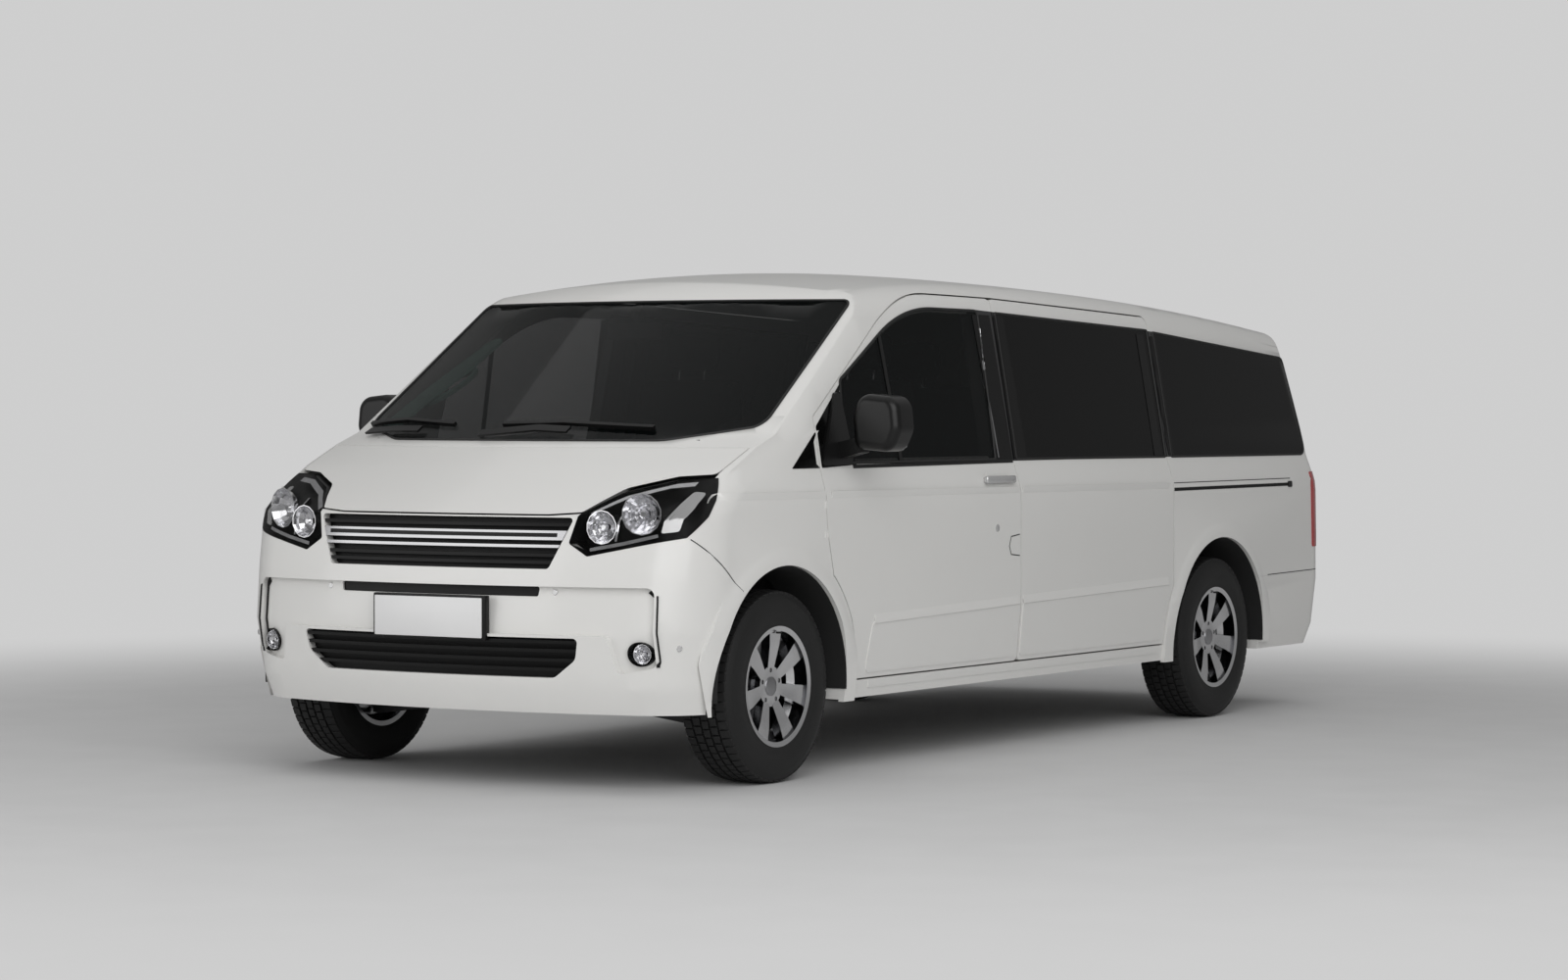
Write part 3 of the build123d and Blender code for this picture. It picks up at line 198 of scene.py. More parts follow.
# Black plastics and the underbody: mirror heads, arch liners, floor, axles, engine, exhaust and tank.
# Grained mouldings, waxed sheet metal, rough castings and rolled steel, bolted up from below.
mirror_black = surface("mirror_black", (0.005, 0.005, 0.005), roughness=0.32, grain=0.03, shine=0.35)
for name in ("mirror_left", "mirror_right"):
    dressed(name, mirror_black)
liner_black = surface("liner_felt", (0.012, 0.012, 0.012), roughness=0.9, grain=0.5, grain_scale=500)
dressed("wheelhouse_liners", liner_black)
underbody = surface("underbody_wax", (0.02, 0.02, 0.021), roughness=0.6, grain=0.3, patchiness=0.25)
for name in ("floor_pan", "front_subframe"):
    dressed(name, underbody)
iron = surface("cast_iron", (0.06, 0.058, 0.056), roughness=0.62, metallic=0.6, grain=0.4, patchiness=0.2)
for name in ("engine_block", "rear_axle", "knuckle_left", "knuckle_right"):
    dressed(name, iron)
steel = surface("exhaust_steel", (0.33, 0.31, 0.29), roughness=0.42, metallic=1.0, grain=0.1, patchiness=0.25)
dressed("exhaust", steel)
tank = surface("tank_plastic", (0.025, 0.025, 0.026), roughness=0.55, grain=0.2)
dressed("fuel_tank", tank)

# Wheels: cast alloy rims that carry plain black tyres.
# The spokes' faces are turned bright on a lathe, and what lies deeper keeps its dark lacquer.
rubber = surface("tyre_rubber", (0.011, 0.011, 0.011), roughness=0.6, shine=0.35, grain=0.25,
                 grain_scale=700, patchiness=0.15)


TURNED_FROM, TURNED_FULLY = 0.5, 0.62      # how squarely a face looks along the axle


def polished_faces():
    """Turned bright metal on what faces along the axle, dark lacquer on what doesn't."""
    finish = surface("diamond_cut_alloy", (0.66, 0.66, 0.67), roughness=0.24, metallic=1.0, coat=0.4,
                     patchiness=0.04, patch_scale=12)
    tree = finish.node_tree
    place = tree.nodes["Texture Coordinate"]
    split = tree.nodes.new("ShaderNodeSeparateXYZ")
    tree.links.new(place.outputs["Normal"], split.inputs["Vector"])
    size = tree.nodes.new("ShaderNodeMath")
    size.operation = "ABSOLUTE"
    tree.links.new(split.outputs["X"], size.inputs[0])
    ramp = tree.nodes.new("ShaderNodeMapRange")
    ramp.inputs["From Min"].default_value = TURNED_FROM
    ramp.inputs["From Max"].default_value = TURNED_FULLY
    tree.links.new(size.outputs["Value"], ramp.inputs["Value"])
    mix = tree.nodes.new("ShaderNodeMix")
    mix.data_type = "RGBA"
    mix.inputs["A"].default_value = (0.055, 0.056, 0.06, 1)
    tree.links.new(ramp.outputs["Result"], mix.inputs["Factor"])
    tree.links.new(tree.nodes["Color Ramp"].outputs["Color"], mix.inputs["B"])
    tree.links.new(mix.outputs["Result"], tree.nodes["Principled BSDF"].inputs["Base Color"])
    return finish


alloy = polished_faces()
for end in ("front", "rear"):
    for side in ("left", "right"):
        dressed(f"{end}_{side}_tyre", rubber)
        dressed(f"{end}_{side}_rim", alloy, 35)

# Tyres: black rubber with bulging sidewalls and a tread of blocks in five ribs.
# The carcass is spun from one profile; one pitch of tread is copied round it.
TYRE_RADIUS, WHEEL_X = 0.343, 0.8825
AXLE_Y = {"front": -1.95, "rear": 1.55}
TREAD_FLOOR = 0.3355
SIDEWALL = [
    (0.095, 0.2036), (0.098, 0.214), (0.1035, 0.228), (0.1035, 0.2335), (0.1062, 0.246), (0.1075, 0.262),
    (0.1072, 0.281), (0.1048, 0.299), (0.1022, 0.3105), (0.1, 0.3135), (0.0965, 0.3235), (0.09, 0.332),
]
PITCHES, PITCH_FILL, RIB_SHIFT = 62, 0.84, 0.35
SHOULDER_X, SHOULDER_DROP, SHOULDER_SPREAD = 0.08, 0.0055, 0.004
RIBS = [(-0.088, -0.056), (-0.048, -0.02), (-0.013, 0.013), (0.02, 0.048), (0.056, 0.088)]


def spun(name, profile, steps, closed=True):
    """Turns an outline of (offset along the axle, radius) points once round the axle."""
    mesh = bpy.data.meshes.new(name)
    last = len(profile)
    links = [(k, (k + 1) % last) for k in range(last if closed else last - 1)]
    mesh.from_pydata([(x, 0, r) for x, r in profile], links, [])
    piece = bpy.data.objects.new(name, mesh)
    scene.collection.objects.link(piece)
    alone(piece)
    bpy.ops.object.mode_set(mode="EDIT")
    bpy.ops.mesh.select_all(action="SELECT")
    bpy.ops.mesh.spin(steps=steps, angle=2 * pi, center=(0, 0, 0), axis=(1, 0, 0))
    bpy.ops.mesh.select_all(action="SELECT")
    bpy.ops.mesh.remove_doubles(threshold=0.00002)
    bpy.ops.mesh.normals_make_consistent(inside=False)
    bpy.ops.object.mode_set(mode="OBJECT")
    bpy.ops.object.shade_smooth_by_angle(angle=radians(32))
    piece.select_set(False)
    return piece


def slab(name, low, high, bevel=0.0, segments=2):
    """A rectangular piece between two corners, with its edges rounded."""
    middle = [(a + b) / 2 for a, b in zip(low, high)]
    bpy.ops.object.select_all(action="DESELECT")
    bpy.ops.mesh.primitive_cube_add(size=1, location=middle, scale=[b - a for a, b in zip(low, high)])
    piece = bpy.context.object
    piece.name = name
    bpy.ops.object.transform_apply(location=True, rotation=True, scale=True)
    if bevel:
        bpy.ops.object.mode_set(mode="EDIT")
        bpy.ops.mesh.select_all(action="SELECT")
        bpy.ops.mesh.bevel(offset=bevel, segments=segments, affect="EDGES")
        bpy.ops.object.mode_set(mode="OBJECT")
        bpy.ops.object.shade_smooth_by_angle(angle=radians(40))
    piece.select_set(False)
    return piece


def joined(name, pieces):
    """Several pieces made into one."""
    bpy.ops.object.select_all(action="DESELECT")
    for piece in pieces:
        piece.select_set(True)
    bpy.context.view_layer.objects.active = pieces[0]
    if len(pieces) > 1:
        bpy.ops.object.join()
    pieces[0].name = name
    pieces[0].select_set(False)
    return pieces[0]


def placed(piece, matrix):
    """Moves a piece's mesh; the object itself stays at the origin."""
    piece.data.transform(matrix)
    if matrix.to_3x3().determinant() < 0:
        piece.data.flip_normals()
    return piece


def copied(piece, name, matrix=Matrix()):
    """A copy with its own mesh, moved by the matrix."""
    twin = piece.copy()
    twin.data = piece.data.copy()
    twin.name = name
    scene.collection.objects.link(twin)
    return placed(twin, matrix)


def round_axle(piece, count):
    """Repeats a piece round the X axis."""
    name = piece.name
    turns = [Matrix.Rotation(2 * pi * k / count, 4, "X") for k in range(1, count)]
    return joined(name, [piece] + [copied(piece, name, turn) for turn in turns])


MIRROR = Matrix.Scale(-1, 4, (1, 0, 0))


def finished(piece, finish, body):
    """Gives a piece its finish and its body."""
    piece.data.materials.clear()
    piece.data.materials.append(finish)
    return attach(piece, body)


inner_wall = [(-x, r) for x, r in SIDEWALL]
carcass = spun("tyre", [(0.086, TREAD_FLOOR)] + SIDEWALL[::-1] + inner_wall + [(-0.086, TREAD_FLOOR)], 96)
blocks = []
pitch_length = 2 * pi * TYRE_RADIUS / PITCHES
for row, (left, right) in enumerate(RIBS):
    shift = (row % 2) * pitch_length * RIB_SHIFT
    reach = pitch_length * PITCH_FILL / 2
    block = slab("block", (left, -reach + shift, TREAD_FLOOR - 0.004),
                 (right, reach + shift, TYRE_RADIUS - 0.0002), 0.0012, 1)
    if row in (0, len(RIBS) - 1):
        way = -1 if row == 0 else 1
        for vertex in block.data.vertices:
            if vertex.co.x * way > SHOULDER_X:
                vertex.co.z -= SHOULDER_DROP
                vertex.co.x += SHOULDER_SPREAD * way
    blocks.append(block)
tread = round_axle(joined("tread", blocks), PITCHES)
tyre = joined("tyre_pattern", [carcass, tread])
BOLT_CIRCLE = 0.1143
bolt = spun("bolt", [(0.052, 0.0001), (0.052, 0.0072), (0.0645, 0.0072), (0.066, 0.0062), (0.066, 0.0001)], 6)
bolts = round_axle(placed(bolt, Matrix.Translation((0, 0, BOLT_CIRCLE / 2))), 5)
cap = spun("cap", [(0.064, 0.0001), (0.064, 0.034), (0.0705, 0.034), (0.0725, 0.031), (0.0735, 0.02),
                   (0.074, 0.0001)], 48)
stem = slab("valve", (0.09, -0.0035, 0.188), (0.112, 0.0035, 0.195), 0.002)
cap_silver = surface("centre_cap", (0.34, 0.34, 0.35), roughness=0.3, metallic=1.0)
bolt_steel = surface("bolt_steel", (0.3, 0.3, 0.31), roughness=0.35, metallic=1.0)
for end in ("front", "rear"):
    for side, way in (("left", 1), ("right", -1)):
        body = f"{end}_{side}_wheel"
        move = Matrix.Translation((way * WHEEL_X, AXLE_Y[end], TYRE_RADIUS))
        if way < 0:
            move = move @ Matrix.Rotation(pi, 4, "Z")
        shown = finished(copied(tyre, f"{end}_{side}_tyre_tread", move), rubber, body)
        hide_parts(f"{end}_{side}_tyre")
        finished(copied(bolts, f"{end}_{side}_bolts", move), bolt_steel, body)
        finished(copied(cap, f"{end}_{side}_cap", move), cap_silver, body)
        finished(copied(stem, f"{end}_{side}_valve", move), rubber, body)
for pattern in (tyre, bolts, cap, stem):
    bpy.data.objects.remove(pattern)

# Window seals: black rubber beads round every pane.
# Each follows the edge of its pane's outer face, half let into the panel.
FLAT_ENOUGH, SCREEN_FLAT_ENOUGH = 0.45, 0.3


def outward(part, way, least):
    """Marks the faces of a mesh that look along way."""
    return [face.normal.dot(way) > least for face in part.data.polygons]


def kept(part, name, keep):
    """A merged copy of part with only the faces marked in keep."""
    twin = copied(part, name)
    twin.modifiers.clear()
    mesh = bmesh.new()
    mesh.from_mesh(twin.data)
    mesh.faces.ensure_lookup_table()
    dropped = [face for face, stays in zip(mesh.faces, keep) if not stays]
    bmesh.ops.delete(mesh, geom=dropped, context="FACES")
    bmesh.ops.remove_doubles(mesh, verts=mesh.verts, dist=WELD_DISTANCE)
    mesh.to_mesh(twin.data)
    mesh.free()
    return twin


def edge_bead(part, name, way, radius, least=FLAT_ENOUGH):
    """A round bead along the outline of the faces that look along way."""
    bead = kept(part, f"{name}.001", outward(part, way, least))
    mesh = bmesh.new()
    mesh.from_mesh(bead.data)
    inner = [edge for edge in mesh.edges if len(edge.link_faces) != 1]
    bmesh.ops.delete(mesh, geom=list(mesh.faces), context="FACES_ONLY")
    bmesh.ops.delete(mesh, geom=inner, context="EDGES")
    loose = [vertex for vertex in mesh.verts if not vertex.link_edges]
    bmesh.ops.delete(mesh, geom=loose, context="VERTS")
    mesh.to_mesh(bead.data)
    mesh.free()
    alone(bead)
    bpy.ops.object.convert(target="CURVE")
    bead.data.bevel_depth = radius
    bead.data.bevel_resolution = 1
    bpy.ops.object.convert(target="MESH")
    bpy.ops.object.shade_smooth_by_angle(angle=radians(50))
    bead.select_set(False)
    return bead


LEFT, RIGHT = Vector((1, 0, 0)), Vector((-1, 0, 0))
AHEAD, BEHIND = Vector((0, -1, 0)), Vector((0, 1, 0))
SEAL_RADIUS, SIDE_SEAL_RADIUS = 0.0055, 0.005
seal_rubber = surface("seal_rubber", (0.012, 0.012, 0.012), roughness=0.6, grain=0.2)
for name, body in (("door_glass_left", "left_door"), ("door_glass_right", "right_door")):
    way = LEFT if "left" in name else RIGHT
    finished(edge_bead(node[name], f"{name}_seal", way, SEAL_RADIUS), seal_rubber, body)
for name in ("sliding_door_glass", "quarter_glass"):
    for side, way in (("left", LEFT), ("right", RIGHT)):
        bead = edge_bead(node[name], f"{name}_seal_{side}", way, SIDE_SEAL_RADIUS)
        finished(bead, seal_rubber, "body")
for name, seal, way, body in (("windscreen", "windscreen_seal", AHEAD, "body"),
                              ("tailgate_glass", "tailgate_seal", BEHIND, "tailgate")):
    finished(edge_bead(node[name], seal, way, SEAL_RADIUS, SCREEN_FLAT_ENOUGH), seal_rubber, body)


# Trim laid on the skin: strips, panels and lines.
# Pressed or moulded pieces that follow the panel under them, clipped or bonded on.
def skin_of(*names):
    """The faces of some panels, to lay trim on."""
    points, faces = [], []
    for name in names:
        mesh = node[name].data
        start = len(points)
        points += [vertex.co.copy() for vertex in mesh.vertices]
        faces += [[start + k for k in face.vertices] for face in mesh.polygons]
    return BVHTree.FromPolygons(points, faces)


SIDE_START, END_START = 2, 4          # how far out a look at the side or at an end begins
SIDE_REACH, END_REACH = 1.05, 1.6     # how far in the nearest spot is sought when a look meets nothing


def resting(skin, u, v, look, lift):
    """Where a look at (u, v) meets the skin, raised by lift. u is y from the side and x from the ends."""
    from_side = abs(look.x) > 0.5
    end = -END_START if look.y > 0 else END_START
    start = Vector((SIDE_START, u, v)) if from_side else Vector((u, end, v))
    spot, normal, _, _ = skin.ray_cast(start, look)
    if spot is None:
        spot, normal, _, _ = skin.find_nearest(start + look * (SIDE_REACH if from_side else END_REACH))
    if normal.dot(look) > 0:
        normal = -normal
    return spot + normal * lift


def walled(piece, depth, offset=-1, angle=35):
    """Gives an open sheet its thickness: inwards at an offset of -1, outwards at 1."""
    wall = piece.modifiers.new("thickness", "SOLIDIFY")
    wall.thickness = depth
    wall.offset = offset
    alone(piece)
    bpy.ops.object.modifier_apply(modifier=wall.name)
    bpy.ops.object.shade_smooth_by_angle(angle=radians(angle))
    piece.select_set(False)
    return piece


def thickened(piece, look, depth):
    """Faces a laid sheet outwards and gives it its thickness inwards."""
    mesh = piece.data
    mesh.update()
    if sum(face.normal.dot(look) * face.area for face in mesh.polygons) > 0:
        mesh.flip_normals()
    return walled(piece, depth)


FROM_LEFT, FROM_FRONT, FROM_REAR = Vector((-1, 0, 0)), Vector((0, 1, 0)), Vector((0, -1, 0))


def strip(name, path, width, skin, look=FROM_LEFT, lift=0.001, depth=0.003, step=0.02, lean=0.0):
    """A strip of even width along a path of (u, v) points; lean lifts its upper edge more than its lower."""
    points = [Vector(point) for point in path]
    line = [points[0]]
    for a, b in zip(points, points[1:]):
        count = max(1, int((b - a).length / step))
        line += [a.lerp(b, k / count) for k in range(1, count + 1)]
    last = len(line) - 1
    bpy.ops.object.select_all(action="DESELECT")
    bpy.ops.mesh.primitive_grid_add(x_subdivisions=last, y_subdivisions=2, size=1)
    piece = bpy.context.object
    piece.name = name
    for vertex in piece.data.vertices:
        k = round((vertex.co.x + 0.5) * last)
        along = (line[min(k + 1, last)] - line[max(k - 1, 0)]).normalized()
        spot = line[k] + Vector((-along.y, along.x)) * width * vertex.co.y
        vertex.co = resting(skin, spot.x, spot.y, look, lift + lean * vertex.co.y)
    return thickened(piece, look, depth)


def eased(corners, radius, steps=4):
    """An outline with its corners rounded off."""
    points = [Vector(corner) for corner in corners]
    out = []
    for k, corner in enumerate(points):
        before, after = points[k - 1] - corner, points[(k + 1) % len(points)] - corner
        a = corner + before.normalized() * min(radius, before.length * 0.45)
        b = corner + after.normalized() * min(radius, after.length * 0.45)
        for t in (j / steps for j in range(steps + 1)):
            out.append((1 - t) ** 2 * a + 2 * t * (1 - t) * corner + t * t * b)
    return out


def sheet(name, corners, skin, look=FROM_LEFT, lift=0.001, depth=0.003, cuts=2, radius=0.01):
    """A panel that fills an outline of (u, v) corners."""
    outline = eased(corners, radius)
    bpy.ops.object.select_all(action="DESELECT")
    bpy.ops.mesh.primitive_circle_add(vertices=len(outline), radius=1, fill_type="TRIFAN")
    piece = bpy.context.object
    piece.name = name
    hub = next(vertex for vertex in piece.data.vertices if vertex.co.length < 0.5)
    rim = [vertex for vertex in piece.data.vertices if vertex.index != hub.index]
    rim.sort(key=lambda vertex: atan2(vertex.co.y, vertex.co.x))
    for vertex, point in zip(rim, outline):
        vertex.co = (point.x, point.y, 0)
    hub.co = (*sum(outline, Vector((0, 0))) / len(outline), 0)
    bpy.ops.object.mode_set(mode="EDIT")
    bpy.ops.mesh.select_all(action="SELECT")
    bpy.ops.mesh.subdivide(number_cuts=cuts)
    bpy.ops.object.mode_set(mode="OBJECT")
    for vertex in piece.data.vertices:
        vertex.co = resting(skin, vertex.co.x, vertex.co.y, look, lift)
    return thickened(piece, look, depth)


def both_sides(piece, finish, left_body, right_body):
    """Finishes a left piece and its mirror image on the right."""
    twin = copied(piece, f"{piece.name}_right", MIRROR)
    piece.name = f"{piece.name}_left"
    finished(piece, finish, left_body)
    finished(twin, finish, right_body)


HALF_LENGTH = 2.7


def s(station):
    """Metres behind the foremost point of the bumper, as y."""
    return station - HALF_LENGTH


# Shut lines and edges that several strips and panels share.
DOOR_REAR, SLIDE_FRONT, SLIDE_REAR = 2.465, 2.495, 3.76
PANEL_FOOT, SAIL_FOOT, FRAME_FOOT, FRAME_TOP = 0.36, 1.112, 1.128, 1.69
LINE_WIDTH = 0.0035
body_skin = skin_of("side_body_left")
door_skin = skin_of("door_left")
slide_skin = skin_of("sliding_door_left")
nose_skin = skin_of("front_bumper")
black_trim = surface("black_trim", (0.005, 0.005, 0.005), roughness=0.38, grain=0.08, shine=0.3)
gloss_black = surface("gloss_black", (0.003, 0.003, 0.003), roughness=0.12, shine=0.2)
silver = surface("silver_lacquer", (0.6, 0.6, 0.6), roughness=0.25, metallic=0.6, coat=0.6)
gap_black = surface("seam_shadow", (0.004, 0.004, 0.004), roughness=0.9)

rail = strip("rail_slot", [(s(3.79), 0.985), (s(4.93), 0.988)], 0.014, body_skin, lift=0.0012)
both_sides(rail, gap_black, "body", "body")
clip = sheet("rail_end", [(s(4.925), 0.975), (s(4.965), 0.975), (s(4.965), 1.002), (s(4.925), 1.002)],
             body_skin, lift=0.004, depth=0.006)
both_sides(clip, black_trim, "body", "body")
rail_lip = strip("rail_lip", [(s(3.79), 1.012), (s(4.95), 1.014)], 0.003, body_skin, lift=0.0012)
both_sides(rail_lip, gap_black, "body", "body")

belt = strip("door_belt", [(s(1.27), 1.118), (s(2.47), 1.124)], 0.02, door_skin, lift=0.002, depth=0.006)
both_sides(belt, black_trim, "left_door", "right_door")
sill_line = strip("sill_strip", [(s(1.36), 0.318), (s(3.72), 0.318)], 0.03, body_skin, lift=0.003,
                  depth=0.006)
both_sides(sill_line, paint, "body", "body")
low_front = sheet("door_lower_panel",
                  [(s(1.36), 0.548), (s(1.33), 0.40), (s(1.33), PANEL_FOOT), (s(DOOR_REAR), PANEL_FOOT),
                   (s(DOOR_REAR), 0.57)],
                  door_skin, lift=0.0035, depth=0.005, cuts=5, radius=0.02)
both_sides(low_front, paint, "left_door", "right_door")
low_slide = sheet("sliding_lower_panel",
                  [(s(SLIDE_FRONT), 0.571), (s(SLIDE_FRONT), PANEL_FOOT), (s(3.72), PANEL_FOOT),
                   (s(3.74), 0.45), (s(SLIDE_REAR), 0.594)],
                  slide_skin, lift=0.0035, depth=0.005, cuts=5, radius=0.02)
both_sides(low_slide, paint, "body", "body")
flap = strip("fuel_guard",
             [(s(2.468), 0.835), (s(2.40), 0.828), (s(2.385), 0.79), (s(2.40), 0.758), (s(2.468), 0.752)],
             0.004, door_skin, lift=0.0008, depth=0.002, step=0.008)
both_sides(flap, gap_black, "left_door", "right_door")
sail = sheet("mirror_sail", [(s(0.85), SAIL_FOOT), (s(1.040), SAIL_FOOT), (s(1.040), 1.243)], body_skin,
             lift=0.002, depth=0.005, radius=0.008)
both_sides(sail, gloss_black, "body", "body")
door_sail = sheet("door_sail",
                  [(s(1.054), SAIL_FOOT), (s(1.30), 1.122), (s(1.30), 1.44), (s(1.262), 1.42),
                   (s(1.054), 1.262)],
                  door_skin, lift=0.002, depth=0.005, radius=0.008)
both_sides(door_sail, gloss_black, "left_door", "right_door")
glass_skin = skin_of("door_glass_left")
divider = strip("vent_divider", [(s(1.615), 1.13), (s(1.59), 1.60)], 0.022, glass_skin, lift=0.003,
                depth=0.006)
both_sides(divider, black_trim, "left_door", "right_door")

for name, skin, path, left_body, right_body in (
    ("wing_crease", body_skin, [(s(0.33), 1.020), (s(1.03), 1.016)], "body", "body"),
    ("door_crease", door_skin, [(s(1.075), 1.016), (s(DOOR_REAR), 1.008)], "left_door", "right_door"),
    ("slide_crease", slide_skin, [(s(SLIDE_FRONT), 1.008), (s(SLIDE_REAR), 1.0)], "body", "body"),
):
    crease = strip(name, path, 0.022, skin, lift=0.0042, depth=0.003, lean=0.0075)
    both_sides(crease, paint, left_body, right_body)
for name, skin, path, left_body, right_body in (
    ("door_step", door_skin, [(s(1.37), 0.556), (s(DOOR_REAR), 0.580)], "left_door", "right_door"),
    ("slide_step", slide_skin, [(s(SLIDE_FRONT), 0.581), (s(3.75), 0.604)], "body", "body"),
):
    ledge = strip(name, path, 0.032, skin, lift=0.004, depth=0.003, lean=-0.0068)
    both_sides(ledge, paint, left_body, right_body)
bumper_skin = skin_of("side_body_left", "rear_bumper")
tail_seam = strip("tail_seam", [(s(4.72), 0.594), (s(5.33), 0.603)], LINE_WIDTH, bumper_skin, lift=0.0006,
                  depth=0.002)
both_sides(tail_seam, gap_black, "body", "body")
lamp_side = sheet("tail_lamp_side",
                  [(s(5.178), 0.704), (s(5.258), 0.704), (s(5.258), 0.88), (s(5.238), 1.04),
                   (s(5.162), 1.04)],
                  body_skin, lift=0.003, depth=0.005, cuts=3)
both_sides(lamp_side, red_lens, "body", "body")
corner_skin = skin_of("front_bumper", "side_body_left")
wing_seam = strip("wing_seam", [(s(0.241), 0.878), (s(0.35), 0.79), (s(0.465), 0.692)], LINE_WIDTH,
                  corner_skin, lift=0.0006, depth=0.002)
both_sides(wing_seam, gap_black, "body", "body")
slide_bright = strip("window_bright", [(s(2.585), 1.135), (s(2.557), 1.66)], 0.006, slide_skin,
                     lift=0.0035, depth=0.004)
both_sides(slide_bright, bright, "body", "body")
for name, names, corners, left_body, right_body in (
    ("door_frame_black", ("door_left", "door_glass_left"),
     [(2.352, FRAME_FOOT), (2.469, FRAME_FOOT), (2.455, FRAME_TOP), (2.318, FRAME_TOP)],
     "left_door", "right_door"),
    ("slide_frame_black", ("sliding_door_left", "sliding_door_glass"),
     [(2.486, FRAME_FOOT), (2.59, FRAME_FOOT), (2.562, FRAME_TOP), (2.470, FRAME_TOP)], "body", "body"),
    ("slide_rear_black", ("sliding_door_left", "sliding_door_glass"),
     [(3.69, FRAME_FOOT), (3.764, FRAME_FOOT), (3.752, 1.632), (3.69, 1.636)], "body", "body"),
    ("quarter_front_black", ("side_body_left", "quarter_glass"),
     [(3.782, FRAME_FOOT), (3.87, FRAME_FOOT), (3.86, 1.625), (3.77, 1.63)], "body", "body"),
):
    outline = [(s(station), z) for station, z in corners]
    post_cover = sheet(name, outline, skin_of(*names), lift=0.0022, depth=0.003, cuts=3, radius=0.004)
    both_sides(post_cover, gloss_black, left_body, right_body)
door_bright = strip("door_bright", [(s(2.36), 1.135), (s(2.327), 1.67)], 0.006, door_skin, lift=0.0035,
                    depth=0.004)
both_sides(door_bright, bright, "left_door", "right_door")

# Arch liners: black felt on the return flange of every wheel arch.
# A bent sheet pressed under the lip and held by clips.
ARCH_RADIUS, ARCH_FOOT = 0.43, 0.31
FELT_INNER_X, FELT_OUTER_X = 0.80, 1.004
FELT_LOW, FELT_HIGH = ARCH_RADIUS - 0.0045, ARCH_RADIUS - 0.0010
for end, axle_y in AXLE_Y.items():
    band = spun(f"{end}_arch_felt", [(FELT_INNER_X, FELT_LOW), (FELT_OUTER_X, FELT_LOW),
                                     (FELT_OUTER_X, FELT_HIGH), (FELT_INNER_X, FELT_HIGH)], 96)
    placed(band, Matrix.Translation((0, axle_y, TYRE_RADIUS)))
    alone(band)
    bpy.ops.object.mode_set(mode="EDIT")
    bpy.ops.mesh.select_all(action="SELECT")
    bpy.ops.mesh.bisect(plane_co=(0, 0, ARCH_FOOT), plane_no=(0, 0, 1), use_fill=True, clear_inner=True)
    bpy.ops.object.mode_set(mode="OBJECT")
    band.select_set(False)
    both_sides(band, liner_black, "body", "body")

# Mirrors: a silvered glass in the back of each black head.
# Cut from flat mirror plate, held by its rim.
mirror_skin = skin_of("mirror_left")
head = [vertex.co for vertex in node["mirror_left"].data.vertices]
outer_edge, top_edge = max(point.x for point in head), max(point.z for point in head)
pane_inner, pane_outer = outer_edge - 0.155, outer_edge - 0.02
pane_low, pane_high = top_edge - 0.235, top_edge - 0.022
pane_back = [(pane_inner, pane_low), (pane_outer, pane_low), (pane_outer, pane_high), (pane_inner, pane_high)]
silvered = surface("mirror_silver", (0.75, 0.77, 0.78), roughness=0.03, metallic=1.0, patchiness=0.01)
mirror_pane = sheet("mirror_pane", pane_back, mirror_skin, FROM_REAR, 0.0015, 0.003, radius=0.03)
both_sides(mirror_pane, silvered, "left_door", "right_door")

# Tailgate: a painted grip bar, a black wiper and a high brake lamp.
# Mouldings clipped to the skin; the lamp is red acrylic under the roof edge.
tail_skin = skin_of("tailgate", "tailgate_glass")
grip_bar = strip("tailgate_grip", [(-0.32, 0.905), (0.32, 0.905)], 0.045, tail_skin, FROM_REAR, 0.014,
                 0.016)
finished(grip_bar, paint, "tailgate")
rear_arm = strip("rear_wiper", [(0.02, 1.165), (-0.16, 1.19), (-0.34, 1.225)], 0.02, tail_skin, FROM_REAR,
                 0.02, 0.008)
rear_blade = strip("rear_blade", [(-0.10, 1.225), (-0.44, 1.245)], 0.01, tail_skin, FROM_REAR, 0.013,
                   0.012)
finished(joined("rear_wiper", [rear_arm, rear_blade]), black_trim, "tailgate")
brake_lamp = strip("high_brake_lamp", [(-0.17, 1.70), (0.17, 1.70)], 0.02, tail_skin, FROM_REAR, 0.004,
                   0.008)
finished(brake_lamp, red_lens, "tailgate")

# Door handles: bowed silver grips over body-coloured cups, with a key barrel below.
# Moulded plastic bars on two feet, screwed from inside the door.
cup = sheet("handle_cup", [(s(2.23), 1.022), (s(2.40), 1.022), (s(2.40), 1.078), (s(2.23), 1.078)],
            door_skin, lift=0.0012, depth=0.003, radius=0.02)
both_sides(cup, paint, "left_door", "right_door")
GRIP_FRONT, GRIP_REAR, GRIP_BOW = 2.20, 2.43, 0.012
grip_middle, grip_half = (GRIP_FRONT + GRIP_REAR) / 2, (GRIP_REAR - GRIP_FRONT) / 2
door_x = resting(door_skin, s(2.31), 1.052, FROM_LEFT, 0).x
grip = slab("handle", (door_x + 0.016, s(GRIP_FRONT), 1.036), (door_x + 0.034, s(GRIP_REAR), 1.066), 0.008, 3)
for vertex in grip.data.vertices:
    vertex.co.x -= GRIP_BOW * ((vertex.co.y - s(grip_middle)) / grip_half) ** 2
feet = [slab("foot", (door_x - 0.002, s(start), 1.040), (door_x + 0.022, s(start + 0.03), 1.062), 0.004)
        for start in (2.205, 2.395)]
both_sides(joined("handle", [grip] + feet), silver, "left_door", "right_door")
barrel = spun("key_barrel", [(0.0001, 0.0001), (0.0035, 0.0001), (0.0035, 0.011), (0.002, 0.0145),
                             (0.0001, 0.0145)], 24)
lock = resting(door_skin, s(2.29), 0.864, FROM_LEFT, 0)
both_sides(placed(barrel, Matrix.Translation(lock)), silver, "left_door", "right_door")

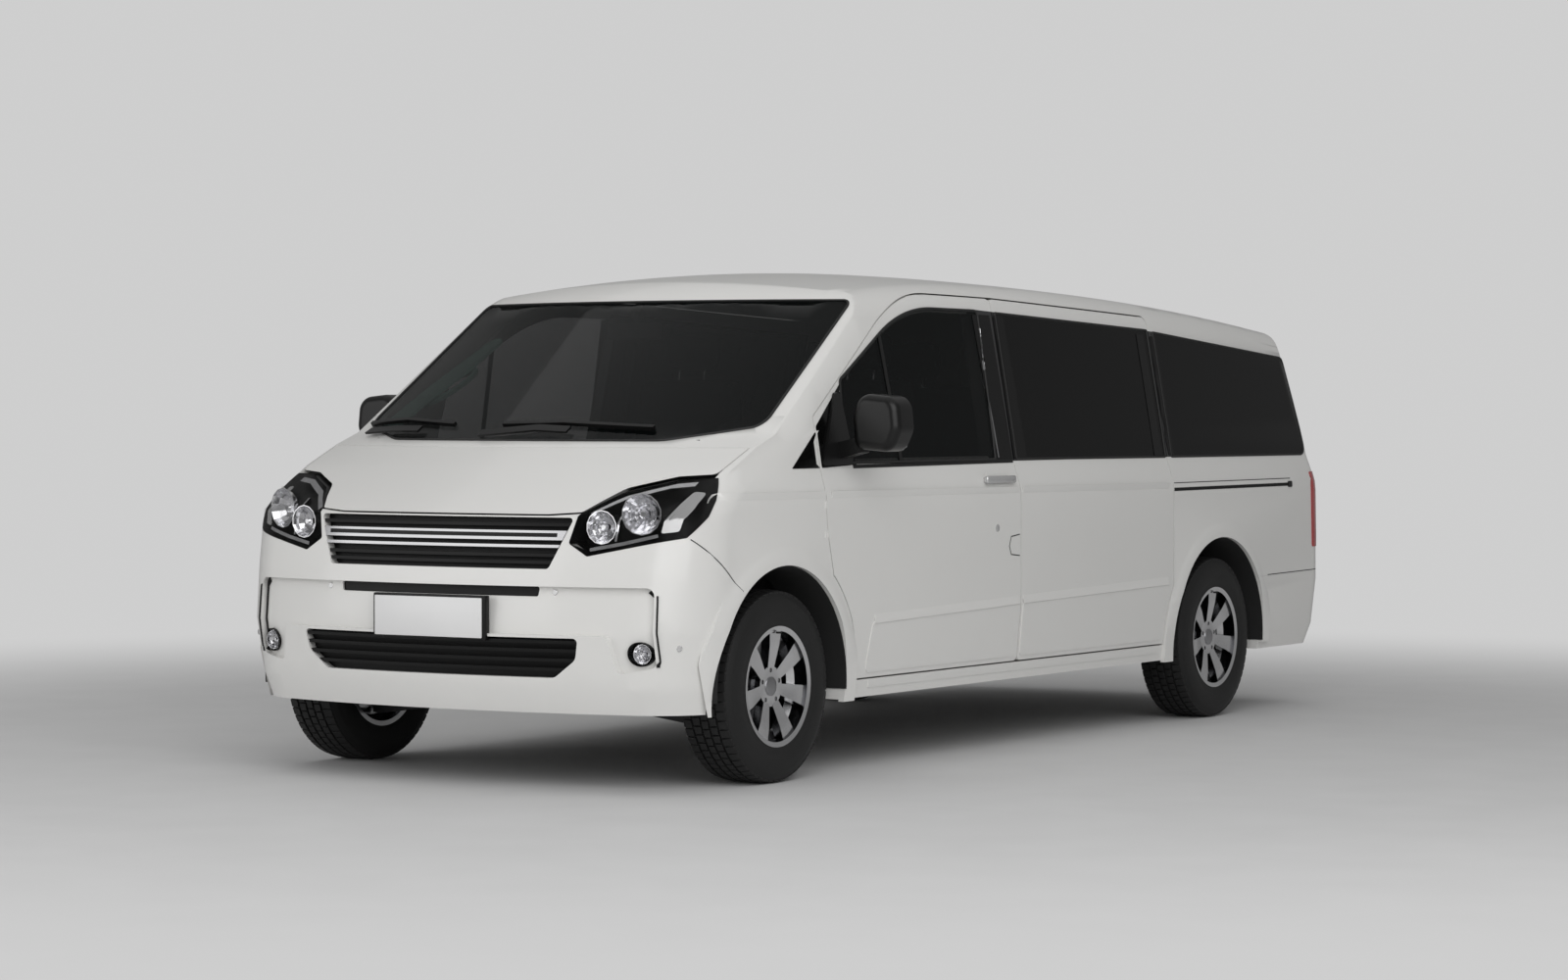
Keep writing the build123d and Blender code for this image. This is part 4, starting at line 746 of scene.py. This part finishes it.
# Nose: blank plate on its backing, dark lines in the bars and the bumper corners, parking sensors.
# The plate is bare pressed metal; the sensors are round plastic studs let into the bumper.
PLATE_DEPTH, PLATE_HALF = 0.006, 0.235
plate_y = min(resting(nose_skin, x, z, FROM_FRONT, 0).y
              for x in (-0.22, 0, 0.22) for z in (0.535, 0.67)) - PLATE_DEPTH
plate = slab("number_plate", (-PLATE_HALF, plate_y, 0.528), (PLATE_HALF, plate_y + PLATE_DEPTH, 0.668), 0.003)
plate_white = surface("plate_white", (0.8, 0.8, 0.8), roughness=0.35, patchiness=0.02)
finished(plate, plate_white, "body")
backing = slab("plate_backing", (-0.245, plate_y + PLATE_DEPTH, 0.52), (0.25, plate_y + 0.03, 0.676), 0.004)
finished(backing, black_trim, "body")
bar_skin = skin_of("grille_bars")
dark_line = strip("grille_bar_inlay", [(-0.50, 0.8895), (0.50, 0.8895)], 0.014, bar_skin, FROM_FRONT,
                  0.0006, 0.002)
finished(dark_line, gloss_black, "body")
slot = strip("corner_slot", [(0.84, 0.702), (0.862, 0.68), (0.866, 0.44)], 0.02, nose_skin, FROM_FRONT,
             0.004, 0.006, 0.01)
both_sides(slot, gap_black, "body", "body")
for name, x, z, turn in (("sensor_inner", 0.494, 0.692, 0), ("sensor_outer", 0.93, 0.505, 0.5)):
    spot = resting(nose_skin, x, z, FROM_FRONT, 0)
    stud = spun(name, [(0.0001, 0.0001), (0.003, 0.0001), (0.003, 0.009), (0.0015, 0.011), (0.0001, 0.011)],
                20)
    placed(stud, Matrix.Translation(spot) @ Matrix.Rotation(-pi / 2 + turn, 4, "Z"))
    both_sides(stud, silver, "body", "body")

# Headlamps: clear lens over a black housing with two chromed bowls and a silver wing.
# The lens and housing are one moulded shell; bowls and wing are metallised plastic inside it.
# The fog lamps in the bumper have a smaller bowl of the same kind.
CLEAR_OF_FACE = 0.0004
shell = copied(node["front_lamps"], "lamp_shell")
shell.modifiers.clear()
around = skin_of("front_bumper", "bonnet", "side_body_left", "side_body_right", "wheelhouse_liners",
                 "floor_pan", "front_grilles", "engine_block", "cowl_panel", "dashboard")
seen = []
for face in shell.data.polygons:
    hit = around.ray_cast(face.center + face.normal * CLEAR_OF_FACE, face.normal)[0]
    seen.append(hit is None and (face.normal.y < 0.25 or abs(face.normal.x) > 0.6))
lamp_lens = kept(shell, "lamp_lenses", seen)
housing = kept(shell, "lamp_housings", [not look for look in seen])
bpy.data.objects.remove(shell)
housing.data.flip_normals()
clear_lens = glazing("clear_lens", (0.01, 0.01, 0.01), 0.9)
lamp_black = surface("lamp_black", (0.003, 0.003, 0.003), roughness=0.4, shine=0.25)
finished(walled(lamp_lens, 0.003, -1, 40), clear_lens, "body")
finished(walled(housing, 0.002, 1, 40), lamp_black, "body")
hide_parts("front_lamps")
lamp_skin = skin_of("front_lamps")
BOWL = [(0.0, 0.010), (0.004, 0.018), (0.014, 0.032), (0.03, 0.045), (0.048, 0.054), (0.048, 0.0565),
        (0.028, 0.047), (0.012, 0.034), (0.002, 0.02), (-0.002, 0.010)]
SHIELD_POLE = 0.0001
SHIELD_RIM = [(0.034, 0.008), (0.028, 0.013), (0.018, 0.013)]
chrome = surface("metallised", (0.8, 0.8, 0.82), roughness=0.12, metallic=1.0, patchiness=0.1, patch_scale=30)


def bowl_at(name, x, z, scale, sink, turn):
    """A metallised bowl with its bulb shield, looking forward from inside a lamp."""
    spot = resting(lamp_skin, x, z, FROM_FRONT, 0)
    bowl = spun(name, [(a * scale, r * scale) for a, r in BOWL], 14)
    for face in bowl.data.polygons:
        face.use_smooth = False
    shield = spun("shield", [(0.02 * scale, SHIELD_POLE), (0.034 * scale, SHIELD_POLE)]
                  + [(a * scale, r * scale) for a, r in SHIELD_RIM], 20)
    place = Matrix.Translation(spot + Vector((0, sink, 0)))
    return placed(joined(name, [bowl, shield]), place @ Matrix.Rotation(-pi / 2 + turn, 4, "Z"))


for name, x, z, scale, sink, turn in (
    ("low_beam", 0.652, 0.918, 1.05, 0.055, 0.1),
    ("high_beam", 0.778, 0.964, 1.3, 0.06, 0.25),
    ("fog_bowl", 0.812, 0.484, 0.62, 0.04, 0.1),
):
    both_sides(bowl_at(name, x, z, scale, sink, turn), chrome, "body", "body")
wing = sheet("lamp_wing", [(0.868, 0.900), (0.922, 0.906), (0.938, 0.99), (0.934, 1.045), (0.893, 1.05)],
             lamp_skin, FROM_FRONT, -0.012, 0.003, cuts=3)
both_sides(wing, silver, "body", "body")
for name, path, width, lift, depth in (
    ("lamp_brow", [(0.60, 0.972), (0.68, 1.025), (0.80, 1.064), (0.88, 1.072)], 0.014, -0.008, 0.004),
    ("lamp_foot", [(0.622, 0.842), (0.74, 0.864), (0.86, 0.892)], 0.012, -0.01, 0.006),
    ("lamp_rib", [(0.712, 0.872), (0.722, 1.01)], 0.008, -0.012, 0.02),
):
    both_sides(strip(name, path, width, lamp_skin, FROM_FRONT, lift, depth), chrome, "body", "body")

# Wipers: two black arms with rubber blades, parked at the foot of the windscreen.
# Painted steel arms; each blade is clipped to the end of its arm and stands just off the glass.
screen_skin = skin_of("windscreen", "cowl_panel", "bonnet")
for name, arm, blade in (
    ("wiper_left", [(-0.153, 1.222), (0.085, 1.242), (0.222, 1.236)],
     [(-0.09, 1.262), (0.17, 1.268), (0.53, 1.252)]),
    ("wiper_right", [(-0.80, 1.226), (-0.63, 1.236), (-0.482, 1.236)],
     [(-0.86, 1.262), (-0.62, 1.276), (-0.33, 1.262)]),
):
    reach = strip(name, arm, 0.02, screen_skin, FROM_FRONT, 0.022, 0.008)
    rubber_edge = strip("blade", blade, 0.009, screen_skin, FROM_FRONT, 0.016, 0.014)
    finished(joined(name, [reach, rubber_edge]), black_trim, "body")

# Cabin: the dashboard and the steering wheel.
# Charcoal plastic with a fine grain, moulded and screwed to the body behind the windscreen.
trim = surface("dash_plastic", (0.035, 0.035, 0.037), roughness=0.6, grain=0.3, grain_scale=900)
dressed("dashboard", trim)
dressed("steering_wheel", trim)

# Seats: foam blocks in sewn cloth on black plinths, a pair in front and three benches behind.
# Every cushion, back and headrest is its own piece, crowned in the middle and drawn in at its seams.
cloth = surface("seat_cloth", (0.022, 0.022, 0.024), roughness=0.95, grain=0.25, grain_scale=160,
                patchiness=0.12)
VOXEL, FOAM_ROUND = 0.016, 0.028
STITCH_WIDTH, STITCH_DEPTH = 0.022, 0.9
SIDE_SWELL, CORNER_PULL = 0.012, 0.008


def stuffed(name, low, high, crown, channels=()):
    """A stuffed block: bulged faces, pulled-in corners and sewn channels at the given x."""
    piece = slab(name, low, high, FOAM_ROUND, 3)
    alone(piece)
    net = piece.modifiers.new("net", "REMESH")
    net.mode = "VOXEL"
    net.voxel_size = VOXEL
    bpy.ops.object.modifier_apply(modifier=net.name)
    middle = Vector([(a + b) / 2 for a, b in zip(low, high)])
    half = Vector([(b - a) / 2 for a, b in zip(low, high)])
    thin = min(range(3), key=lambda axis: half[axis])
    flat = [axis for axis in range(3) if axis != thin]
    for vertex in piece.data.vertices:
        t = [(vertex.co[axis] - middle[axis]) / half[axis] for axis in range(3)]
        t = [max(-1, min(1, value)) for value in t]
        swell = (1 - t[flat[0]] ** 2) * (1 - t[flat[1]] ** 2)
        stitch = max([0] + [1 - abs(vertex.co.x - x) / STITCH_WIDTH for x in channels])
        depth = crown * (swell ** 0.6) - crown * STITCH_DEPTH * stitch * stitch
        side = 1 if t[thin] > 0 else -1
        vertex.co[thin] += depth * side * min(1, abs(t[thin]) * 1.2) - crown * t[thin]
        for axis, other in (flat, flat[::-1]):
            bulge = SIDE_SWELL * (1 - t[other] ** 2) * (1 - abs(t[thin]))
            vertex.co[axis] += (bulge - CORNER_PULL) * t[axis] ** 5
    soften = piece.modifiers.new("cover", "SUBSURF")
    soften.levels = soften.render_levels = 1
    bpy.ops.object.modifier_apply(modifier=soften.name)
    for face in piece.data.polygons:
        face.use_smooth = True
    piece.select_set(False)
    return piece


CABIN_FLOOR = min(vertex.co.z for vertex in node["front_seats"].data.vertices)
BACK_LEAN = radians(8)
POST_HALF_GAP, POST_HALF = 0.06, 0.006


def seat_row(name, front, low_x, high_x, cushion_z, length, height, heads, channels, stands_for):
    """One seat or bench: plinth, cushion, leaning back, headrests on posts."""
    y = s(front)
    plinth = slab(f"{name}_plinth", (low_x + 0.02, y + 0.035, CABIN_FLOOR + 0.001),
                  (high_x - 0.02, y + length - 0.045, cushion_z - 0.125), 0.012)
    finished(plinth, trim, "body")
    cushion = stuffed(f"{name}_cushion", (low_x + 0.008, y + 0.008, cushion_z - 0.128),
                      (high_x - 0.008, y + length - 0.03, cushion_z - 0.006), 0.014, channels)
    finished(cushion, cloth, "body")
    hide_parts(stands_for)
    hinge = Matrix.Translation((0, y + length - 0.02, cushion_z - 0.03))
    turn = hinge @ Matrix.Rotation(-BACK_LEAN, 4, "X")
    back = stuffed(f"{name}_back", (low_x + 0.008, 0.0, 0.0), (high_x - 0.008, 0.115, height + 0.015), 0.012,
                   channels)
    finished(placed(back, turn), cloth, "body")
    for k, x in enumerate(heads):
        rest = stuffed(f"{name}_headrest_{k + 1}", (x - 0.122, 0.012, height + 0.055),
                       (x + 0.122, 0.1, height + 0.205), 0.01)
        finished(placed(rest, turn), cloth, "body")
        posts = [slab("post", (post_x - POST_HALF, 0.05, height), (post_x + POST_HALF, 0.062, height + 0.08),
                      0.003)
                 for post_x in (x - POST_HALF_GAP, x + POST_HALF_GAP)]
        finished(placed(joined(f"{name}_posts_{k + 1}", posts), turn), bright, "body")


for side, low_x, high_x in (("left", 0.15, 0.65), ("right", -0.65, -0.15)):
    middle_x = (low_x + high_x) / 2
    seat_row(f"front_seat_{side}", 1.66, low_x, high_x, 0.905, 0.5, 0.56, (middle_x,),
             (middle_x - 0.14, middle_x + 0.14), "front_seats")
for row, front in enumerate((2.76, 3.48, 4.18)):
    seat_row(f"bench_{row + 1}", front, -0.62, 0.62, 0.90, 0.47, 0.54, (-0.41, 0, 0.41), (-0.207, 0.207),
             "rear_seats")

# Cabin trim: the pale pillar cover with its handle, on the right, and the interior mirror.
# Moulded plastic, screwed or clipped to the body.
inside = surface("pillar_trim", (0.5, 0.75, 0.66), roughness=0.6, grain=0.1)
pane_skin = skin_of("windscreen")
pillar_cover = sheet("pillar_cover",
                     [(0.88, 1.285), (0.75, 1.285), (0.71, 1.38), (0.62, 1.50), (0.58, 1.62), (0.65, 1.62),
                      (0.80, 1.42)],
                     pane_skin, FROM_FRONT, -0.03, 0.01, cuts=3, radius=0.03)
finished(placed(pillar_cover, MIRROR), inside, "body")
LOOP_STEPS = 20
loop = [(0.69 - 0.08 * cos(a) + 0.022 * sin(a), 1.45 + 0.055 * cos(a) + 0.032 * sin(a))
        for a in (2 * pi * k / LOOP_STEPS for k in range(LOOP_STEPS + 1))]
handle_ring = strip("pillar_handle", loop, 0.018, pane_skin, FROM_FRONT, -0.045, 0.014)
finished(placed(handle_ring, MIRROR), inside, "body")
view_mirror = slab("interior_mirror", (-0.12, -1.43, 1.585), (0.12, -1.405, 1.65), 0.01, 3)
stalk = slab("stalk", (-0.012, -1.405, 1.61), (0.012, -1.36, 1.69), 0.004)
finished(joined("interior_mirror", [view_mirror, stalk]), trim, "body")

# Floor, light and camera: a matt pale floor that fades into a pale backdrop.
# Three square soft lamps over a faint even light, and a long lens a little below roof height.
FLOOR, BACKDROP = 0.7, 0.62
FADE_FROM, FADE_TO = 3.0, 8.0


def floor_material():
    """A matt pale floor that fades into the backdrop, for the camera only, far from the object."""
    finish = surface("studio_floor", (FLOOR, FLOOR, FLOOR), roughness=0.7, patchiness=0.02)
    tree = finish.node_tree
    reach = tree.nodes.new("ShaderNodeVectorMath")
    reach.operation = "LENGTH"
    tree.links.new(tree.nodes["Texture Coordinate"].outputs["Object"], reach.inputs[0])
    fade = tree.nodes.new("ShaderNodeMapRange")
    fade.interpolation_type = "SMOOTHSTEP"
    fade.inputs["From Min"].default_value = FADE_FROM
    fade.inputs["From Max"].default_value = FADE_TO
    tree.links.new(reach.outputs["Value"], fade.inputs["Value"])
    ray = tree.nodes.new("ShaderNodeLightPath")
    share = tree.nodes.new("ShaderNodeMath")
    share.operation = "MULTIPLY"
    tree.links.new(fade.outputs["Result"], share.inputs[0])
    tree.links.new(ray.outputs["Is Camera Ray"], share.inputs[1])
    glow = tree.nodes.new("ShaderNodeEmission")
    glow.inputs["Color"].default_value = (BACKDROP, BACKDROP, BACKDROP, 1)
    blend = tree.nodes.new("ShaderNodeMixShader")
    tree.links.new(share.outputs["Value"], blend.inputs["Fac"])
    tree.links.new(tree.nodes["Principled BSDF"].outputs["BSDF"], blend.inputs[1])
    tree.links.new(glow.outputs["Emission"], blend.inputs[2])
    tree.links.new(blend.outputs["Shader"], tree.nodes["Material Output"].inputs["Surface"])
    return finish


bpy.ops.mesh.primitive_plane_add(size=60, location=(0, 0, -0.0005))
floor = bpy.context.object
floor.name = "floor"
floor.data.materials.append(floor_material())
bpy.ops.object.select_all(action="DESELECT")

world = bpy.data.worlds.new("studio")
scene.world = world
world.use_nodes = True
ambient = world.node_tree.nodes["Background"]
ambient.inputs["Color"].default_value = (1, 1, 1, 1)
ambient.inputs["Strength"].default_value = 0.25
pale = world.node_tree.nodes.new("ShaderNodeBackground")
pale.inputs["Color"].default_value = (BACKDROP, BACKDROP, BACKDROP, 1)
ray = world.node_tree.nodes.new("ShaderNodeLightPath")
choice = world.node_tree.nodes.new("ShaderNodeMixShader")
world.node_tree.links.new(ray.outputs["Is Camera Ray"], choice.inputs["Fac"])
world.node_tree.links.new(ambient.outputs["Background"], choice.inputs[1])
world.node_tree.links.new(pale.outputs["Background"], choice.inputs[2])
world.node_tree.links.new(choice.outputs["Shader"], world.node_tree.nodes["World Output"].inputs["Surface"])

AIM = Vector((0, 0, 0.8))
for name, place, size, power in (
    ("key", (8, -8.5, 6), 10, 690),
    ("fill", (-5, -9, 3), 7, 190),
    ("top", (0, 0, 8), 12, 150),
):
    lamp = bpy.data.lights.new(name, "AREA")
    lamp.shape = "SQUARE"
    lamp.size = size
    lamp.energy = power
    holder = bpy.data.objects.new(name, lamp)
    holder.location = place
    holder.rotation_euler = (AIM - Vector(place)).to_track_quat("-Z", "Y").to_euler()
    scene.collection.objects.link(holder)

CAMERA = Vector((8.406, -13.649, 1.344))
YAW, PITCH = 0.564, 0.022
look = Vector((-sin(YAW) * cos(PITCH), cos(YAW) * cos(PITCH), -sin(PITCH)))
eye = bpy.data.cameras.new("eye")
eye.lens = 90
eye.sensor_width = 36
camera = bpy.data.objects.new("eye", eye)
camera.location = CAMERA
camera.rotation_euler = look.to_track_quat("-Z", "Y").to_euler()
scene.collection.objects.link(camera)
scene.camera = camera
